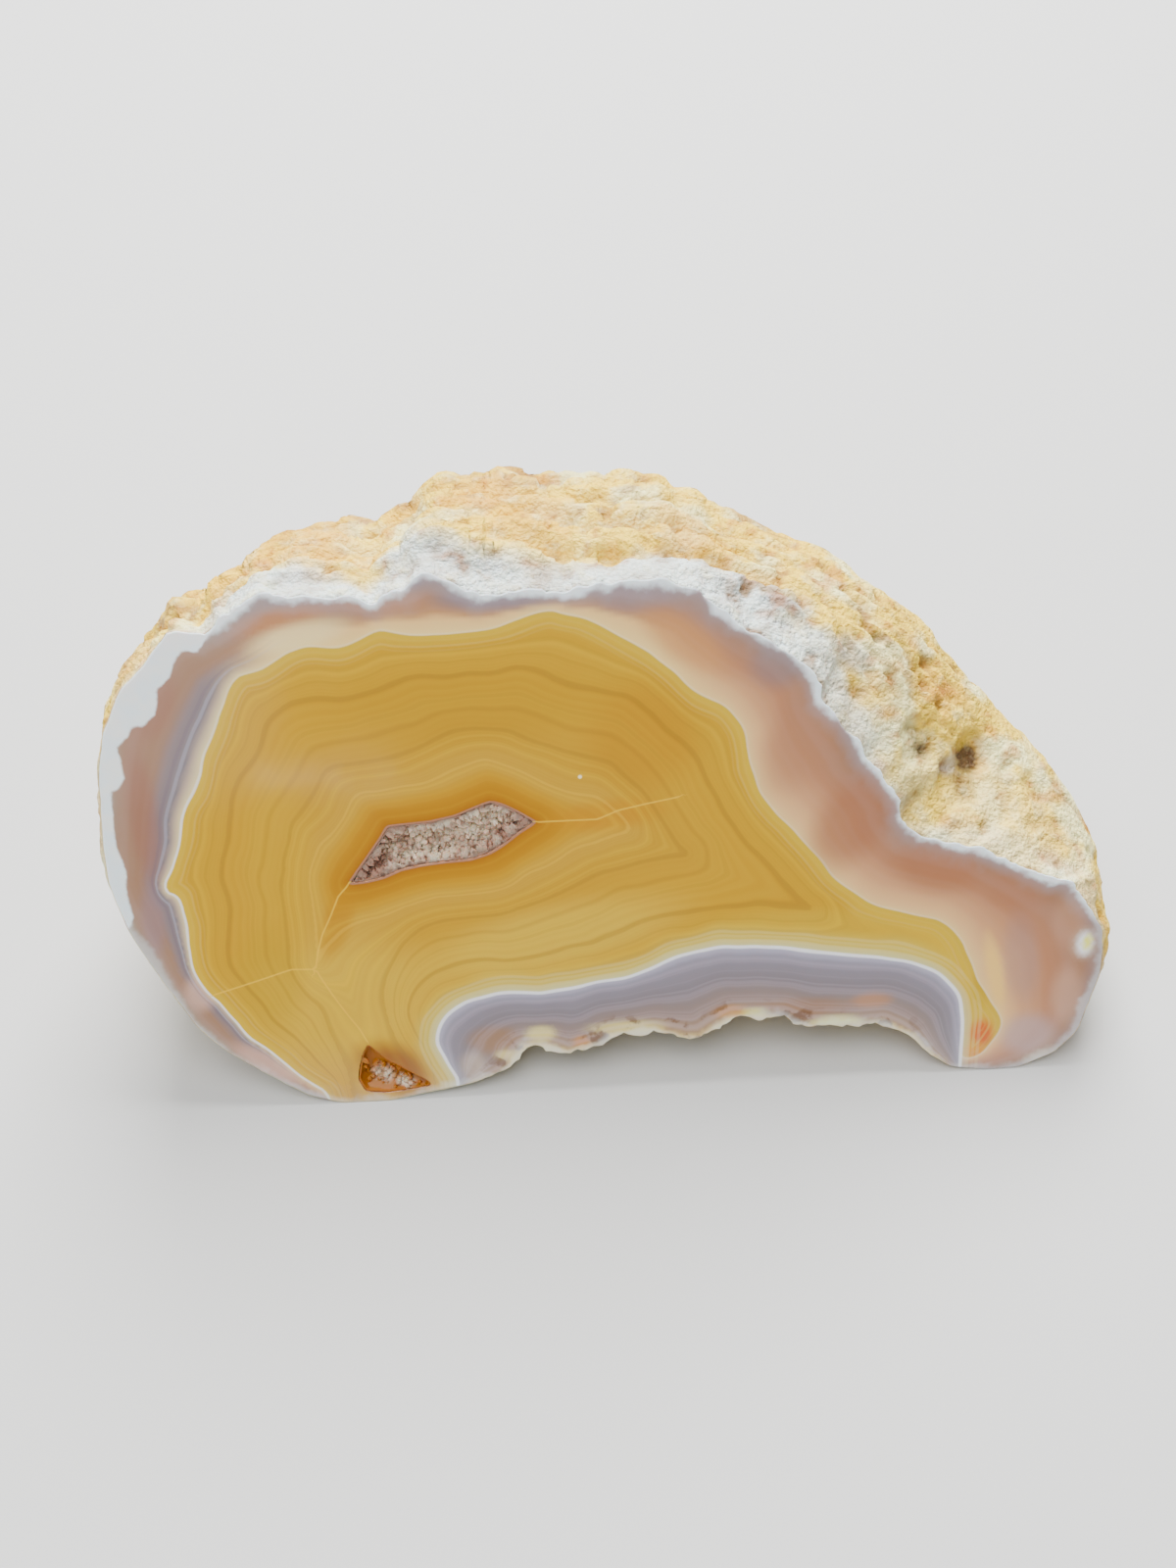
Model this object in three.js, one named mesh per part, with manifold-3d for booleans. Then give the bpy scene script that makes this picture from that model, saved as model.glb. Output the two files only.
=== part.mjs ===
import * as THREE from 'three';
import { mergeVertices } from 'three/addons/utils/BufferGeometryUtils.js';
import Module from 'manifold-3d';

const wasm = await Module();
wasm.setup();

// A polished agate, millimetres, +Z up. Its one polished face leans back, and the rough crust bulges
// behind it. Face coordinates: u to the right, v up along the face, w straight back into the stone.

// Driving dimensions
const FACE_LEAN = THREE.MathUtils.degToRad(60);
const FOOT_LINE = new THREE.Vector3(-0.18, -21.83, 0);
const BACK_DEPTH_LEFT = 28.5;
const BACK_DEPTH_RIGHT = 23;
const BACK_RISE_LEFT = 2.5;
const BACK_RISE_RIGHT = 5;
const TOP_ROUNDING = 1;
const UNDERSIDE_ROUNDING = 1.4;
const EDGE_POINTS = 108;
const WALL_RINGS = 9;
const BACK_RINGS = 14;
const LAST_RING_ANGLE = THREE.MathUtils.degToRad(84);

// The line inside the stone that the back closes over
const BACK_SPINE = [[-15, 23], [23, 14]];

// Edge of the polished face, clockwise from the left foot: up the left side, along the top,
// down the slope on the right, the right foot, and the chipped bay between the feet
const FACE_EDGE = [
  [-20, 0], [-24, 0], [-26.8, 0.9], [-30, 3.1], [-33.2, 5.5], [-35.4, 8], [-37.7, 12.4],
  [-39.9, 17.1], [-40.9, 21.4], [-40.9, 25], [-40.3, 31.6], [-39.6, 34.2], [-38, 37.4],
  [-35.6, 39.8], [-33.7, 42],
  [-32.5, 42], [-31, 41.8], [-29.2, 43.2], [-26.7, 44.8], [-24, 44.4], [-20, 44.4], [-18.4, 43.6],
  [-17.2, 44.3], [-15.7, 44.6], [-14.4, 45.8], [-13, 45.5], [-10, 44], [-6.7, 44.2], [-3.5, 43.8],
  [0.4, 44.6], [2.7, 44.7], [4.8, 44.2], [6.8, 43.5], [8.1, 41.9], [9.8, 40.7], [13.1, 38.8],
  [16, 36.3], [16, 34.2], [18, 32.2], [19.4, 30.5], [19.6, 29.3], [21, 28], [22.6, 25.6],
  [22.6, 24.2], [23.8, 22.9], [27, 21.8], [29.4, 21.2], [30.4, 20.4], [33, 19.2], [35, 18.2],
  [37.4, 17.6], [38.8, 15.6], [40.1, 13.4],
  [40.4, 11.5], [40.4, 9], [39.7, 6.4], [38.8, 3.4], [37, 1.4], [34, 0.1], [31.4, 0], [28, 0.5],
  [26, 2], [24.4, 3.7], [22, 5],
  [20, 4.8], [15.4, 5], [13.2, 6.2], [9.3, 6.3], [7.8, 5.4], [6.6, 4.4], [5.2, 4.5], [2.4, 5.5],
  [-1.2, 5.1], [-1.9, 4.4], [-4.7, 3.6], [-6.6, 4.6], [-8.4, 4.6], [-9.4, 3], [-10.4, 2.1],
  [-14, 1.1], [-17.5, 0.5],
];

// How far the crust stands out from the face edge where it is widest: at a point of the edge,
// the reach to the side and up, and the depth behind the face at which the crust is widest
const CRUST_REACH = [
  { at: [-20, 0], reach: [0, -0.6], depth: 5 },
  { at: [-30, 3.1], reach: [-0.8, -0.2], depth: 6 },
  { at: [-37.7, 12.4], reach: [-1, 0], depth: 7 },
  { at: [-40.9, 23], reach: [-1.2, 0], depth: 8 },
  { at: [-40, 32], reach: [-1.1, -0.1], depth: 8 },
  { at: [-38, 37.4], reach: [-0.6, -0.6], depth: 7 },
  { at: [-34.8, 41], reach: [-0.4, -0.6], depth: 6 },
  { at: [-31.8, 41.9], reach: [-1.4, -0.2], depth: 6 },
  { at: [-28, 44.1], reach: [-1.4, 0.1], depth: 8 },
  { at: [-26.5, 44.8], reach: [-1.3, 0.8], depth: 10 },
  { at: [-24, 44.4], reach: [-1, 2.4], depth: 12 },
  { at: [-20, 44.4], reach: [-1.4, 2.9], depth: 13 },
  { at: [-18.4, 43.6], reach: [-0.7, 2.9], depth: 12 },
  { at: [-15.7, 44.6], reach: [0.4, 2.7], depth: 13 },
  { at: [-13, 45.5], reach: [1, 4.2], depth: 14 },
  { at: [-10.5, 44.3], reach: [0.4, 5.2], depth: 14 },
  { at: [-8, 44.1], reach: [-0.3, 5.6], depth: 14 },
  { at: [-4.6, 43.8], reach: [0.1, 5.8], depth: 14 },
  { at: [0.4, 44.6], reach: [0.6, 4.6], depth: 14 },
  { at: [4.8, 44.2], reach: [1, 3.8], depth: 14 },
  { at: [8.1, 41.9], reach: [2.2, 3.8], depth: 14 },
  { at: [13.1, 38.8], reach: [3.8, 3.9], depth: 13 },
  { at: [16, 36.3], reach: [4.7, 4.9], depth: 13 },
  { at: [18, 32.2], reach: [5.8, 6.9], depth: 12 },
  { at: [19.6, 29.3], reach: [8.6, 5.3], depth: 12 },
  { at: [22.6, 25.6], reach: [10, 4.6], depth: 12 },
  { at: [25.2, 22.4], reach: [9.9, 5.4], depth: 11 },
  { at: [29.4, 21.2], reach: [8.9, 2.6], depth: 10 },
  { at: [33.6, 19], reach: [7.3, 0.7], depth: 9 },
  { at: [37.4, 17.6], reach: [4.7, -1.1], depth: 7 },
  { at: [39.3, 14.8], reach: [3, -1.6], depth: 6 },
  { at: [40.4, 10], reach: [1.6, -0.8], depth: 5 },
  { at: [38.8, 3.4], reach: [0.8, 0.3], depth: 5 },
  { at: [31.4, 0], reach: [0, 0.8], depth: 6 },
  { at: [24.4, 3.7], reach: [-0.6, 0.8], depth: 6 },
  { at: [13.2, 6.2], reach: [0, 0.4], depth: 6 },
  { at: [-1.2, 5.1], reach: [0, 0.4], depth: 6 },
  { at: [-10.4, 2.1], reach: [0, 0.2], depth: 5 },
];

// Relief of the crust: broad lumps, smaller knobs, and ledges that run along the top
const LUMPS = { cell: 11, height: 1.5 };
const KNOBS = { cell: 4.6, height: 0.7 };
const LEDGES = { spacing: 3.4, height: 1.1, wander: 8, lowest: 22, full: 36 };
const RELIEF_START = 0.4;
const RELIEF_FULL = 4.5;

// Pits in the pale crust of the right-hand slope: centre and radius
const PITS = [
  { at: [29.9, 25.8, 7.4], radius: 1 },
  { at: [25.2, 27.7, 5.6], radius: 0.8 },
  { at: [30.2, 22.4, 4.6], radius: 0.9 },
  { at: [21.3, 37.2, 5.8], radius: 0.7 },
  { at: [34.6, 22.4, 7.6], radius: 0.8 },
  { at: [-1.5, 48.3, 9.5], radius: 0.9 },
];

// The hollow in the middle of the face: its rim, clockwise, and its line of greatest depth
const VUG_RIM = [
  [-21.8, 20.5], [-20.4, 22.4], [-19, 24.3], [-18.4, 25.3], [-15, 25.5], [-13, 25.9], [-11, 26.7],
  [-10.1, 27], [-9.2, 26.7], [-8, 26], [-6.7, 25.1], [-8, 24.3], [-9.4, 23.2], [-10.4, 22.6],
  [-12, 22.1], [-14, 22], [-16, 21.8], [-17.6, 21.5], [-19, 20.9], [-20.4, 20.6],
];
const VUG_SPINE = [[-18.6, 22.2], [-9.2, 25]];
const VUG = { depth: 4.4, rings: 4, crystals: 27, size: 1.05, seed: 3 };

// The hollow that the ground foot cuts open, at the lower left edge of the face
const POCKET_RIM = [
  [-22, 4.8], [-21.5, 5.7], [-20, 4.2], [-18, 2.8], [-16.6, 1.8], [-16.4, 1.3], [-18.2, 1],
  [-20.2, 0.8], [-22, 1], [-22.6, 2.2], [-22.4, 3.4],
];
const POCKET_SPINE = [[-21.3, 2.9], [-18.6, 1.9]];
const POCKET = { depth: 2.6, rings: 3, crystals: 8, size: 0.7, seed: 8 };

// The crystal crusts: clearance to the stone, thickness, and how far they stay under the face
const CRUST_GAP = 0.3;
const CRUST_THICKNESS = 0.45;
const UNDER_FACE = 0.35;
const CRYSTAL_SIDES = 6;

const FINISHES = {
  agate: { color: 0xbf9f4c, roughness: 0.12, metalness: 0 },
  quartz: { color: 0xd8c8b8, roughness: 0.2, metalness: 0 },
};

// Numbers between 0 and 1 that stay the same for the same cell of space
function cellValue(i, j, k) {
  const wave = Math.sin(i * 127.1 + j * 311.7 + k * 74.7) * 43758.5453;
  return wave - Math.floor(wave);
}

// Smooth value noise from -1 to 1
function noise(x, y, z) {
  const cell = [x, y, z].map(Math.floor);
  const ease = [x - cell[0], y - cell[1], z - cell[2]].map((t) => t * t * (3 - 2 * t));
  let sum = 0;
  for (let corner = 0; corner < 8; corner++) {
    const step = [corner & 1, (corner >> 1) & 1, corner >> 2];
    const weight = step.reduce((w, s, axis) => w * (s ? ease[axis] : 1 - ease[axis]), 1);
    sum += weight * cellValue(cell[0] + step[0], cell[1] + step[1], cell[2] + step[2]);
  }
  return 2 * sum - 1;
}

function smoothStep(low, high, x) {
  const t = Math.min(1, Math.max(0, (x - low) / (high - low)));
  return t * t * (3 - 2 * t);
}

const mix = (a, b, t) => a + (b - a) * t;

// A point of the face coordinates, in the part's frame
function place([u, v, w]) {
  const across = Math.cos(FACE_LEAN);
  const up = Math.sin(FACE_LEAN);
  return new THREE.Vector3(u, v * across + w * up, v * up - w * across).add(FOOT_LINE);
}

// Evenly spaced points along a closed outline
function resample(outline, count) {
  const closed = [...outline, outline[0]];
  const along = [0];
  for (let i = 1; i < closed.length; i++) {
    along.push(along[i - 1] + Math.hypot(closed[i][0] - closed[i - 1][0], closed[i][1] - closed[i - 1][1]));
  }
  const total = along[along.length - 1];
  let span = 1;
  return Array.from({ length: count }, (_, i) => {
    const goal = (total * i) / count;
    while (along[span] < goal) span++;
    const t = (goal - along[span - 1]) / (along[span] - along[span - 1]);
    return [mix(closed[span - 1][0], closed[span][0], t), mix(closed[span - 1][1], closed[span][1], t)];
  });
}

// The point of a line segment nearest to a point, and how far along it lies, from 0 to 1
function nearestOnSpine([a, b], [u, v]) {
  const run = [b[0] - a[0], b[1] - a[1]];
  const dot = (u - a[0]) * run[0] + (v - a[1]) * run[1];
  const share = THREE.MathUtils.clamp(dot / (run[0] ** 2 + run[1] ** 2), 0, 1);
  return { point: [mix(a[0], b[0], share), mix(a[1], b[1], share)], share };
}

// Index of the outline point nearest to a given one
function nearestIndex(points, [u, v]) {
  const gaps = points.map((p) => Math.hypot(p[0] - u, p[1] - v));
  return gaps.indexOf(Math.min(...gaps));
}

// The crust's reach and depth at every point of the edge, eased from station to station
function reachAround(edge) {
  const stations = CRUST_REACH.map((s) => ({ ...s, index: nearestIndex(edge, s.at) }));
  stations.sort((a, b) => a.index - b.index);
  return edge.map((_, i) => {
    const after = stations.find((s) => s.index > i) ?? stations[0];
    const before = stations[(stations.indexOf(after) + stations.length - 1) % stations.length];
    const span = (after.index - before.index + edge.length) % edge.length || edge.length;
    const t = smoothStep(0, 1, ((i - before.index + edge.length) % edge.length) / span);
    return {
      u: mix(before.reach[0], after.reach[0], t),
      v: mix(before.reach[1], after.reach[1], t),
      depth: mix(before.depth, after.depth, t),
    };
  });
}

// How far the crust's relief pushes a point outwards
function relief([u, v, w]) {
  const lumps = LUMPS.height * noise(u / LUMPS.cell + 7, v / LUMPS.cell, w / LUMPS.cell);
  const knobs = KNOBS.height * noise(u / KNOBS.cell, v / KNOBS.cell + 5, w / KNOBS.cell);
  const layer = w / LEDGES.spacing + 0.9 * noise(u / LEDGES.wander, v / LEDGES.wander, 2);
  const tread = smoothStep(0.15, 0.6, layer - Math.floor(layer)) - 0.5;
  const ledges = LEDGES.height * tread * smoothStep(LEDGES.lowest, LEDGES.full, v);
  return (lumps + knobs + ledges) * smoothStep(RELIEF_START, RELIEF_FULL, w);
}

// Rings of points from the face edge, out over the crust and round to the spine at the back
function stoneRings() {
  const edge = resample(FACE_EDGE, EDGE_POINTS);
  const reach = reachAround(edge);
  const rings = [edge.map(([u, v]) => [u, v, 0])];
  for (let ring = 1; ring <= WALL_RINGS; ring++) {
    const share = ring / WALL_RINGS;
    const out = Math.sin((share * Math.PI) / 2);
    rings.push(edge.map(([u, v], i) => [
      u + reach[i].u * out, v + reach[i].v * out, reach[i].depth * share,
    ]));
  }
  for (let ring = 1; ring <= BACK_RINGS; ring++) {
    const angle = (LAST_RING_ANGLE * ring) / BACK_RINGS;
    rings.push(edge.map(([u, v], i) => {
      const wide = [u + reach[i].u, v + reach[i].v];
      const { point, share } = nearestOnSpine(BACK_SPINE, wide);
      const radius = Math.hypot(wide[0] - point[0], wide[1] - point[1]);
      const downward = smoothStep(0, 0.8, (point[1] - wide[1]) / radius);
      const shrink = Math.cos(angle) ** mix(TOP_ROUNDING, UNDERSIDE_ROUNDING, downward);
      const back = Math.sin(angle);
      const depth = mix(BACK_DEPTH_LEFT, BACK_DEPTH_RIGHT, share);
      const rise = mix(BACK_RISE_LEFT, BACK_RISE_RIGHT, share) * back * back;
      return [
        mix(point[0], wide[0], shrink),
        mix(point[1], wide[1], shrink) + rise,
        reach[i].depth + (depth - reach[i].depth) * back,
      ];
    }));
  }
  return rings.map((ring, r) => (r === 0 ? ring : roughen(rings, r)));
}

// One ring with every point pushed along the crust's outward direction by the relief
function roughen(rings, r) {
  const ring = rings[r];
  const count = ring.length;
  return ring.map((point, i) => {
    const here = new THREE.Vector3(...point);
    const along = new THREE.Vector3(...ring[(i + 1) % count])
      .sub(new THREE.Vector3(...ring[(i + count - 1) % count]));
    const inwards = new THREE.Vector3(...(rings[r + 1] ?? ring)[i])
      .sub(new THREE.Vector3(...rings[r - 1][i]));
    const outward = inwards.cross(along).normalize();
    return here.addScaledVector(outward, relief(point)).toArray();
  });
}

// Triangles that fill a flat-ish ring, all turned the same way
function fillRing(ring, first, clockwise) {
  const flat = ring.map(([u, v]) => new THREE.Vector2(u, v));
  return THREE.ShapeUtils.triangulateShape(flat, []).flatMap(([a, b, c]) => {
    const turn = (flat[b].x - flat[a].x) * (flat[c].y - flat[a].y)
      - (flat[c].x - flat[a].x) * (flat[b].y - flat[a].y);
    const order = (turn < 0) === clockwise ? [a, b, c] : [a, c, b];
    return order.map((index) => index + first);
  });
}

// A closed solid over rings of equal length, the first and last ones filled
function loft(rings) {
  const count = rings[0].length;
  const triangles = fillRing(rings[0], 0, false);
  for (let r = 0; r + 1 < rings.length; r++) {
    for (let i = 0; i < count; i++) {
      const a = r * count + i;
      const b = r * count + ((i + 1) % count);
      triangles.push(a, b, a + count, b, b + count, a + count);
    }
  }
  const last = rings.length - 1;
  triangles.push(...fillRing(rings[last], last * count, true));
  const geometry = new THREE.BufferGeometry();
  geometry.setFromPoints(rings.flat().map(place));
  geometry.setIndex(triangles);
  return solid(geometry);
}

// A closed mesh as a solid that can be joined and cut
function solid(geometry) {
  geometry.deleteAttribute('normal');
  geometry.deleteAttribute('uv');
  const merged = mergeVertices(geometry, 1e-4);
  return new wasm.Manifold(new wasm.Mesh({
    numProp: 3,
    vertProperties: new Float32Array(merged.attributes.position.array),
    triVerts: new Uint32Array(merged.index.array),
  }));
}

function geometryOf(body) {
  const mesh = body.getMesh();
  const geometry = new THREE.BufferGeometry();
  geometry.setAttribute('position', new THREE.BufferAttribute(mesh.vertProperties, 3));
  geometry.setIndex(new THREE.BufferAttribute(mesh.triVerts, 1));
  return geometry;
}

// Everything under the ground plane
function belowGround() {
  const block = new THREE.BoxGeometry(200, 200, 60);
  block.translate(0, 0, -30);
  return solid(block);
}

// Everything in front of a plane that lies a little behind the polished face
function inFrontOfFace(depth) {
  const block = new THREE.BoxGeometry(200, 200, 60);
  block.translate(0, 0, 30);
  block.rotateX(FACE_LEAN);
  const corner = place([0, 0, depth]);
  block.translate(corner.x, corner.y, corner.z);
  return solid(block);
}

// Rings of a hollow that closes over its own spine, shrunk by a margin all round.
// The first ring stands a little in front of the face, so that the cut is clean
function hollowRings(rim, spine, { depth, rings }, margin) {
  const bottom = depth - margin;
  const inner = rim.map((point) => {
    const near = nearestOnSpine(spine, point).point;
    const radius = Math.hypot(point[0] - near[0], point[1] - near[1]);
    const keep = Math.max(0.15, 1 - margin / radius);
    return { near, at: [mix(near[0], point[0], keep), mix(near[1], point[1], keep)] };
  });
  const list = [inner.map(({ at }) => [...at, -1])];
  for (let ring = 0; ring <= rings; ring++) {
    const angle = (LAST_RING_ANGLE * ring) / rings;
    const shrink = Math.sqrt(Math.cos(angle));
    list.push(inner.map(({ near, at }) => [
      mix(near[0], at[0], shrink), mix(near[1], at[1], shrink), bottom * Math.sin(angle),
    ]));
  }
  return list;
}

// One quartz crystal: a short six-sided column with a pointed tip, standing on +Y
function crystal(radius, length) {
  const profile = [[0, -radius], [radius, -radius], [radius * 0.92, length * 0.45], [0, length]];
  return new THREE.LatheGeometry(profile.map((p) => new THREE.Vector2(...p)), CRYSTAL_SIDES);
}

// The crystal crust of a hollow: a thin lining with crystals that lean towards the opening
function crystalCrust(rim, spine, hollow) {
  const lining = loft(hollowRings(rim, spine, hollow, CRUST_GAP));
  const room = loft(hollowRings(rim, spine, hollow, CRUST_GAP + CRUST_THICKNESS));
  let crust = lining.subtract(room);
  const rings = hollowRings(rim, spine, hollow, CRUST_GAP + CRUST_THICKNESS).slice(2);
  for (let n = 0; n < hollow.crystals; n++) {
    const ring = rings[n % rings.length];
    const point = ring[Math.floor(cellValue(n, hollow.seed, 1) * ring.length)];
    const spot = nearestOnSpine(spine, point).point;
    const lean = new THREE.Vector3(
      spot[0] - point[0] + 2 * (cellValue(n, hollow.seed, 2) - 0.5),
      spot[1] - point[1] + 2 * (cellValue(n, hollow.seed, 3) - 0.5),
      -1.6 - cellValue(n, hollow.seed, 4),
    );
    const foot = place(point);
    const axis = place([point[0] + lean.x, point[1] + lean.y, point[2] + lean.z]).sub(foot).normalize();
    const size = hollow.size * mix(0.6, 1.25, cellValue(n, hollow.seed, 5));
    const geometry = crystal(size, size * 2.1);
    geometry.rotateY(cellValue(n, hollow.seed, 6) * Math.PI);
    geometry.applyQuaternion(new THREE.Quaternion().setFromUnitVectors(new THREE.Vector3(0, 1, 0), axis));
    geometry.translate(foot.x, foot.y, foot.z);
    crust = crust.add(solid(geometry).intersect(lining));
  }
  return crust.subtract(inFrontOfFace(UNDER_FACE)).subtract(belowGround());
}

// The stone, with its two open hollows and the pits of its crust, ground flat under its foot
function agateNodule() {
  const rings = stoneRings();
  let stone = loft(rings);
  for (const [rim, spine, hollow] of [[VUG_RIM, VUG_SPINE, VUG], [POCKET_RIM, POCKET_SPINE, POCKET]]) {
    stone = stone.subtract(loft(hollowRings(rim, spine, hollow, 0)));
  }
  const surface = rings.flat().map(place);
  for (const { at, radius } of PITS) {
    const goal = place(at);
    const centre = surface.reduce((best, p) => (p.distanceTo(goal) < best.distanceTo(goal) ? p : best));
    const ball = new THREE.IcosahedronGeometry(radius, 1);
    ball.translate(centre.x, centre.y, centre.z);
    stone = stone.subtract(solid(ball));
  }
  return stone.subtract(belowGround());
}

function piece(name, body, finish) {
  const mesh = new THREE.Mesh(geometryOf(body), new THREE.MeshStandardMaterial(finish));
  mesh.name = name;
  return mesh;
}

const agate = new THREE.Group();
agate.add(piece('agate_nodule', agateNodule(), FINISHES.agate));
agate.add(piece('vug_crystals', crystalCrust(VUG_RIM, VUG_SPINE, VUG), FINISHES.quartz));
agate.add(piece('edge_pocket_crystals', crystalCrust(POCKET_RIM, POCKET_SPINE, POCKET), FINISHES.quartz));

export default agate;
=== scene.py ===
"""A polished agate half: one banded face leaning back, a rough pale crust and two crystal-lined hollows.

Face coordinates are millimetres: u to the right, v up along the polished face, w straight back into
the stone. FaceFrame turns them into the frame of the model, in metres.
"""

import logging
import math
from dataclasses import dataclass, field
from enum import Enum

import bmesh
import bpy
import numpy as np
from mathutils import Matrix, Vector
from mathutils.geometry import delaunay_2d_cdt


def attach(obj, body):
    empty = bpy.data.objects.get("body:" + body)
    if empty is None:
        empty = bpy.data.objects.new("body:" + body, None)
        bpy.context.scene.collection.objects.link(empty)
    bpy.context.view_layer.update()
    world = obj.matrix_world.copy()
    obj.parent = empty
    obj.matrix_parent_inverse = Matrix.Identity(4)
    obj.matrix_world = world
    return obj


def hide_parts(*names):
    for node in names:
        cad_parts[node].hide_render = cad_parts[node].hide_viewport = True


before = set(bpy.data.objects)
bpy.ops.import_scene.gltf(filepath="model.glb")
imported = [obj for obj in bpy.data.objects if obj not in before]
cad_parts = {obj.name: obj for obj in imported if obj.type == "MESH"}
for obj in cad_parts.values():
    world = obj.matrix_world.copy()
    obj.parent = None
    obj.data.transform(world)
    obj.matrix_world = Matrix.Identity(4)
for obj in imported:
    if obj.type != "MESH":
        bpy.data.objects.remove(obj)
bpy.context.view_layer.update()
LOG = logging.getLogger("agate")

MM = 0.001
Colour = tuple[int, int, int]
Points = list[tuple[float, float]]
Layers = tuple[tuple[float, Colour], ...]
Lines = tuple[tuple[float, float, float], ...]
Socket = bpy.types.NodeSocket

# Factors that scatter the numbers of the noise's cells
CELL_TURNS = (127.1, 311.7, 74.7)
CELL_GAIN = 43758.5453

# Edge of the polished face, clockwise from the left foot
FACE_EDGE: Points = [
    (-20, 0), (-24, 0), (-26.8, 0.9), (-30, 3.1), (-33.2, 5.5), (-35.4, 8), (-37.7, 12.4),
    (-39.9, 17.1), (-40.9, 21.4), (-40.9, 25), (-40.3, 31.6), (-39.6, 34.2), (-38, 37.4),
    (-35.6, 39.8), (-33.7, 42),
    (-32.5, 42), (-31, 41.8), (-29.2, 43.2), (-26.7, 44.8), (-24, 44.4), (-20, 44.4), (-18.4, 43.6),
    (-17.2, 44.3), (-15.7, 44.6), (-14.4, 45.8), (-13, 45.5), (-10, 44), (-6.7, 44.2), (-3.5, 43.8),
    (0.4, 44.6), (2.7, 44.7), (4.8, 44.2), (6.8, 43.5), (8.1, 41.9), (9.8, 40.7), (13.1, 38.8),
    (16, 36.3), (16, 34.2), (18, 32.2), (19.4, 30.5), (19.6, 29.3), (21, 28), (22.6, 25.6),
    (22.6, 24.2), (23.8, 22.9), (27, 21.8), (29.4, 21.2), (30.4, 20.4), (33, 19.2), (35, 18.2),
    (37.4, 17.6), (38.8, 15.6), (40.1, 13.4),
    (40.4, 11.5), (40.4, 9), (39.7, 6.4), (38.8, 3.4), (37, 1.4), (34, 0.1), (31.4, 0), (28, 0.5),
    (26, 2), (24.4, 3.7), (22, 5),
    (20, 4.8), (15.4, 5), (13.2, 6.2), (9.3, 6.3), (7.8, 5.4), (6.6, 4.4), (5.2, 4.5), (2.4, 5.5),
    (-1.2, 5.1), (-1.9, 4.4), (-4.7, 3.6), (-6.6, 4.6), (-8.4, 4.6), (-9.4, 3), (-10.4, 2.1),
    (-14, 1.1), (-17.5, 0.5),
]

# At a point of the face edge: the reach of the crust to the side and up, and its depth there
CRUST_REACH: list[tuple[tuple[float, float], tuple[float, float], float]] = [
    ((-20, 0), (0, -0.6), 5), ((-30, 3.1), (-0.8, -0.2), 6), ((-37.7, 12.4), (-1, 0), 7),
    ((-40.9, 23), (-1.2, 0), 8), ((-40, 32), (-1.1, -0.1), 8), ((-38, 37.4), (-0.6, -0.6), 7),
    ((-34.8, 41), (-0.4, -0.6), 6), ((-31.8, 41.9), (-1.4, -0.2), 6), ((-28, 44.1), (-1.4, 0.1), 8),
    ((-26.5, 44.8), (-1.3, 0.8), 10), ((-24, 44.4), (-1, 2.4), 12), ((-20, 44.4), (-1.4, 2.9), 13),
    ((-18.4, 43.6), (-0.7, 2.9), 12), ((-15.7, 44.6), (0.4, 2.7), 13), ((-13, 45.5), (1, 4.2), 14),
    ((-10.5, 44.3), (0.4, 5.2), 14), ((-8, 44.1), (-0.3, 5.6), 14), ((-4.6, 43.8), (0.1, 5.8), 14),
    ((0.4, 44.6), (0.6, 4.6), 14), ((4.8, 44.2), (1, 3.8), 14), ((8.1, 41.9), (2.2, 3.8), 14),
    ((13.1, 38.8), (3.8, 3.9), 13), ((16, 36.3), (4.7, 4.9), 13), ((18, 32.2), (5.8, 6.9), 12),
    ((19.6, 29.3), (8.6, 5.3), 12), ((22.6, 25.6), (10, 4.6), 12), ((25.2, 22.4), (9.9, 5.4), 11),
    ((29.4, 21.2), (8.9, 2.6), 10), ((33.6, 19), (7.3, 0.7), 9), ((37.4, 17.6), (4.7, -1.1), 7),
    ((39.3, 14.8), (3, -1.6), 6), ((40.4, 10), (1.6, -0.8), 5), ((38.8, 3.4), (0.8, 0.3), 5),
    ((31.4, 0), (0, 0.8), 6), ((24.4, 3.7), (-0.6, 0.8), 6), ((13.2, 6.2), (0, 0.4), 6),
    ((-1.2, 5.1), (0, 0.4), 6), ((-10.4, 2.1), (0, 0.2), 5),
]

# Rim of the hollow in the middle of the face, clockwise, and of the one at the lower left edge
VUG_RIM: Points = [
    (-21.8, 20.5), (-20.4, 22.4), (-19, 24.3), (-18.4, 25.3), (-15, 25.5), (-13, 25.9), (-11, 26.7),
    (-10.1, 27), (-9.2, 26.7), (-8, 26), (-6.7, 25.1), (-8, 24.3), (-9.4, 23.2), (-10.4, 22.6),
    (-12, 22.1), (-14, 22), (-16, 21.8), (-17.6, 21.5), (-19, 20.9), (-20.4, 20.6),
]
POCKET_RIM: Points = [
    (-22, 4.8), (-21.5, 5.7), (-20, 4.2), (-18, 2.8), (-16.6, 1.8), (-16.4, 1.3), (-18.2, 1),
    (-20.2, 0.8), (-22, 1), (-22.6, 2.2), (-22.4, 3.4),
]

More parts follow.
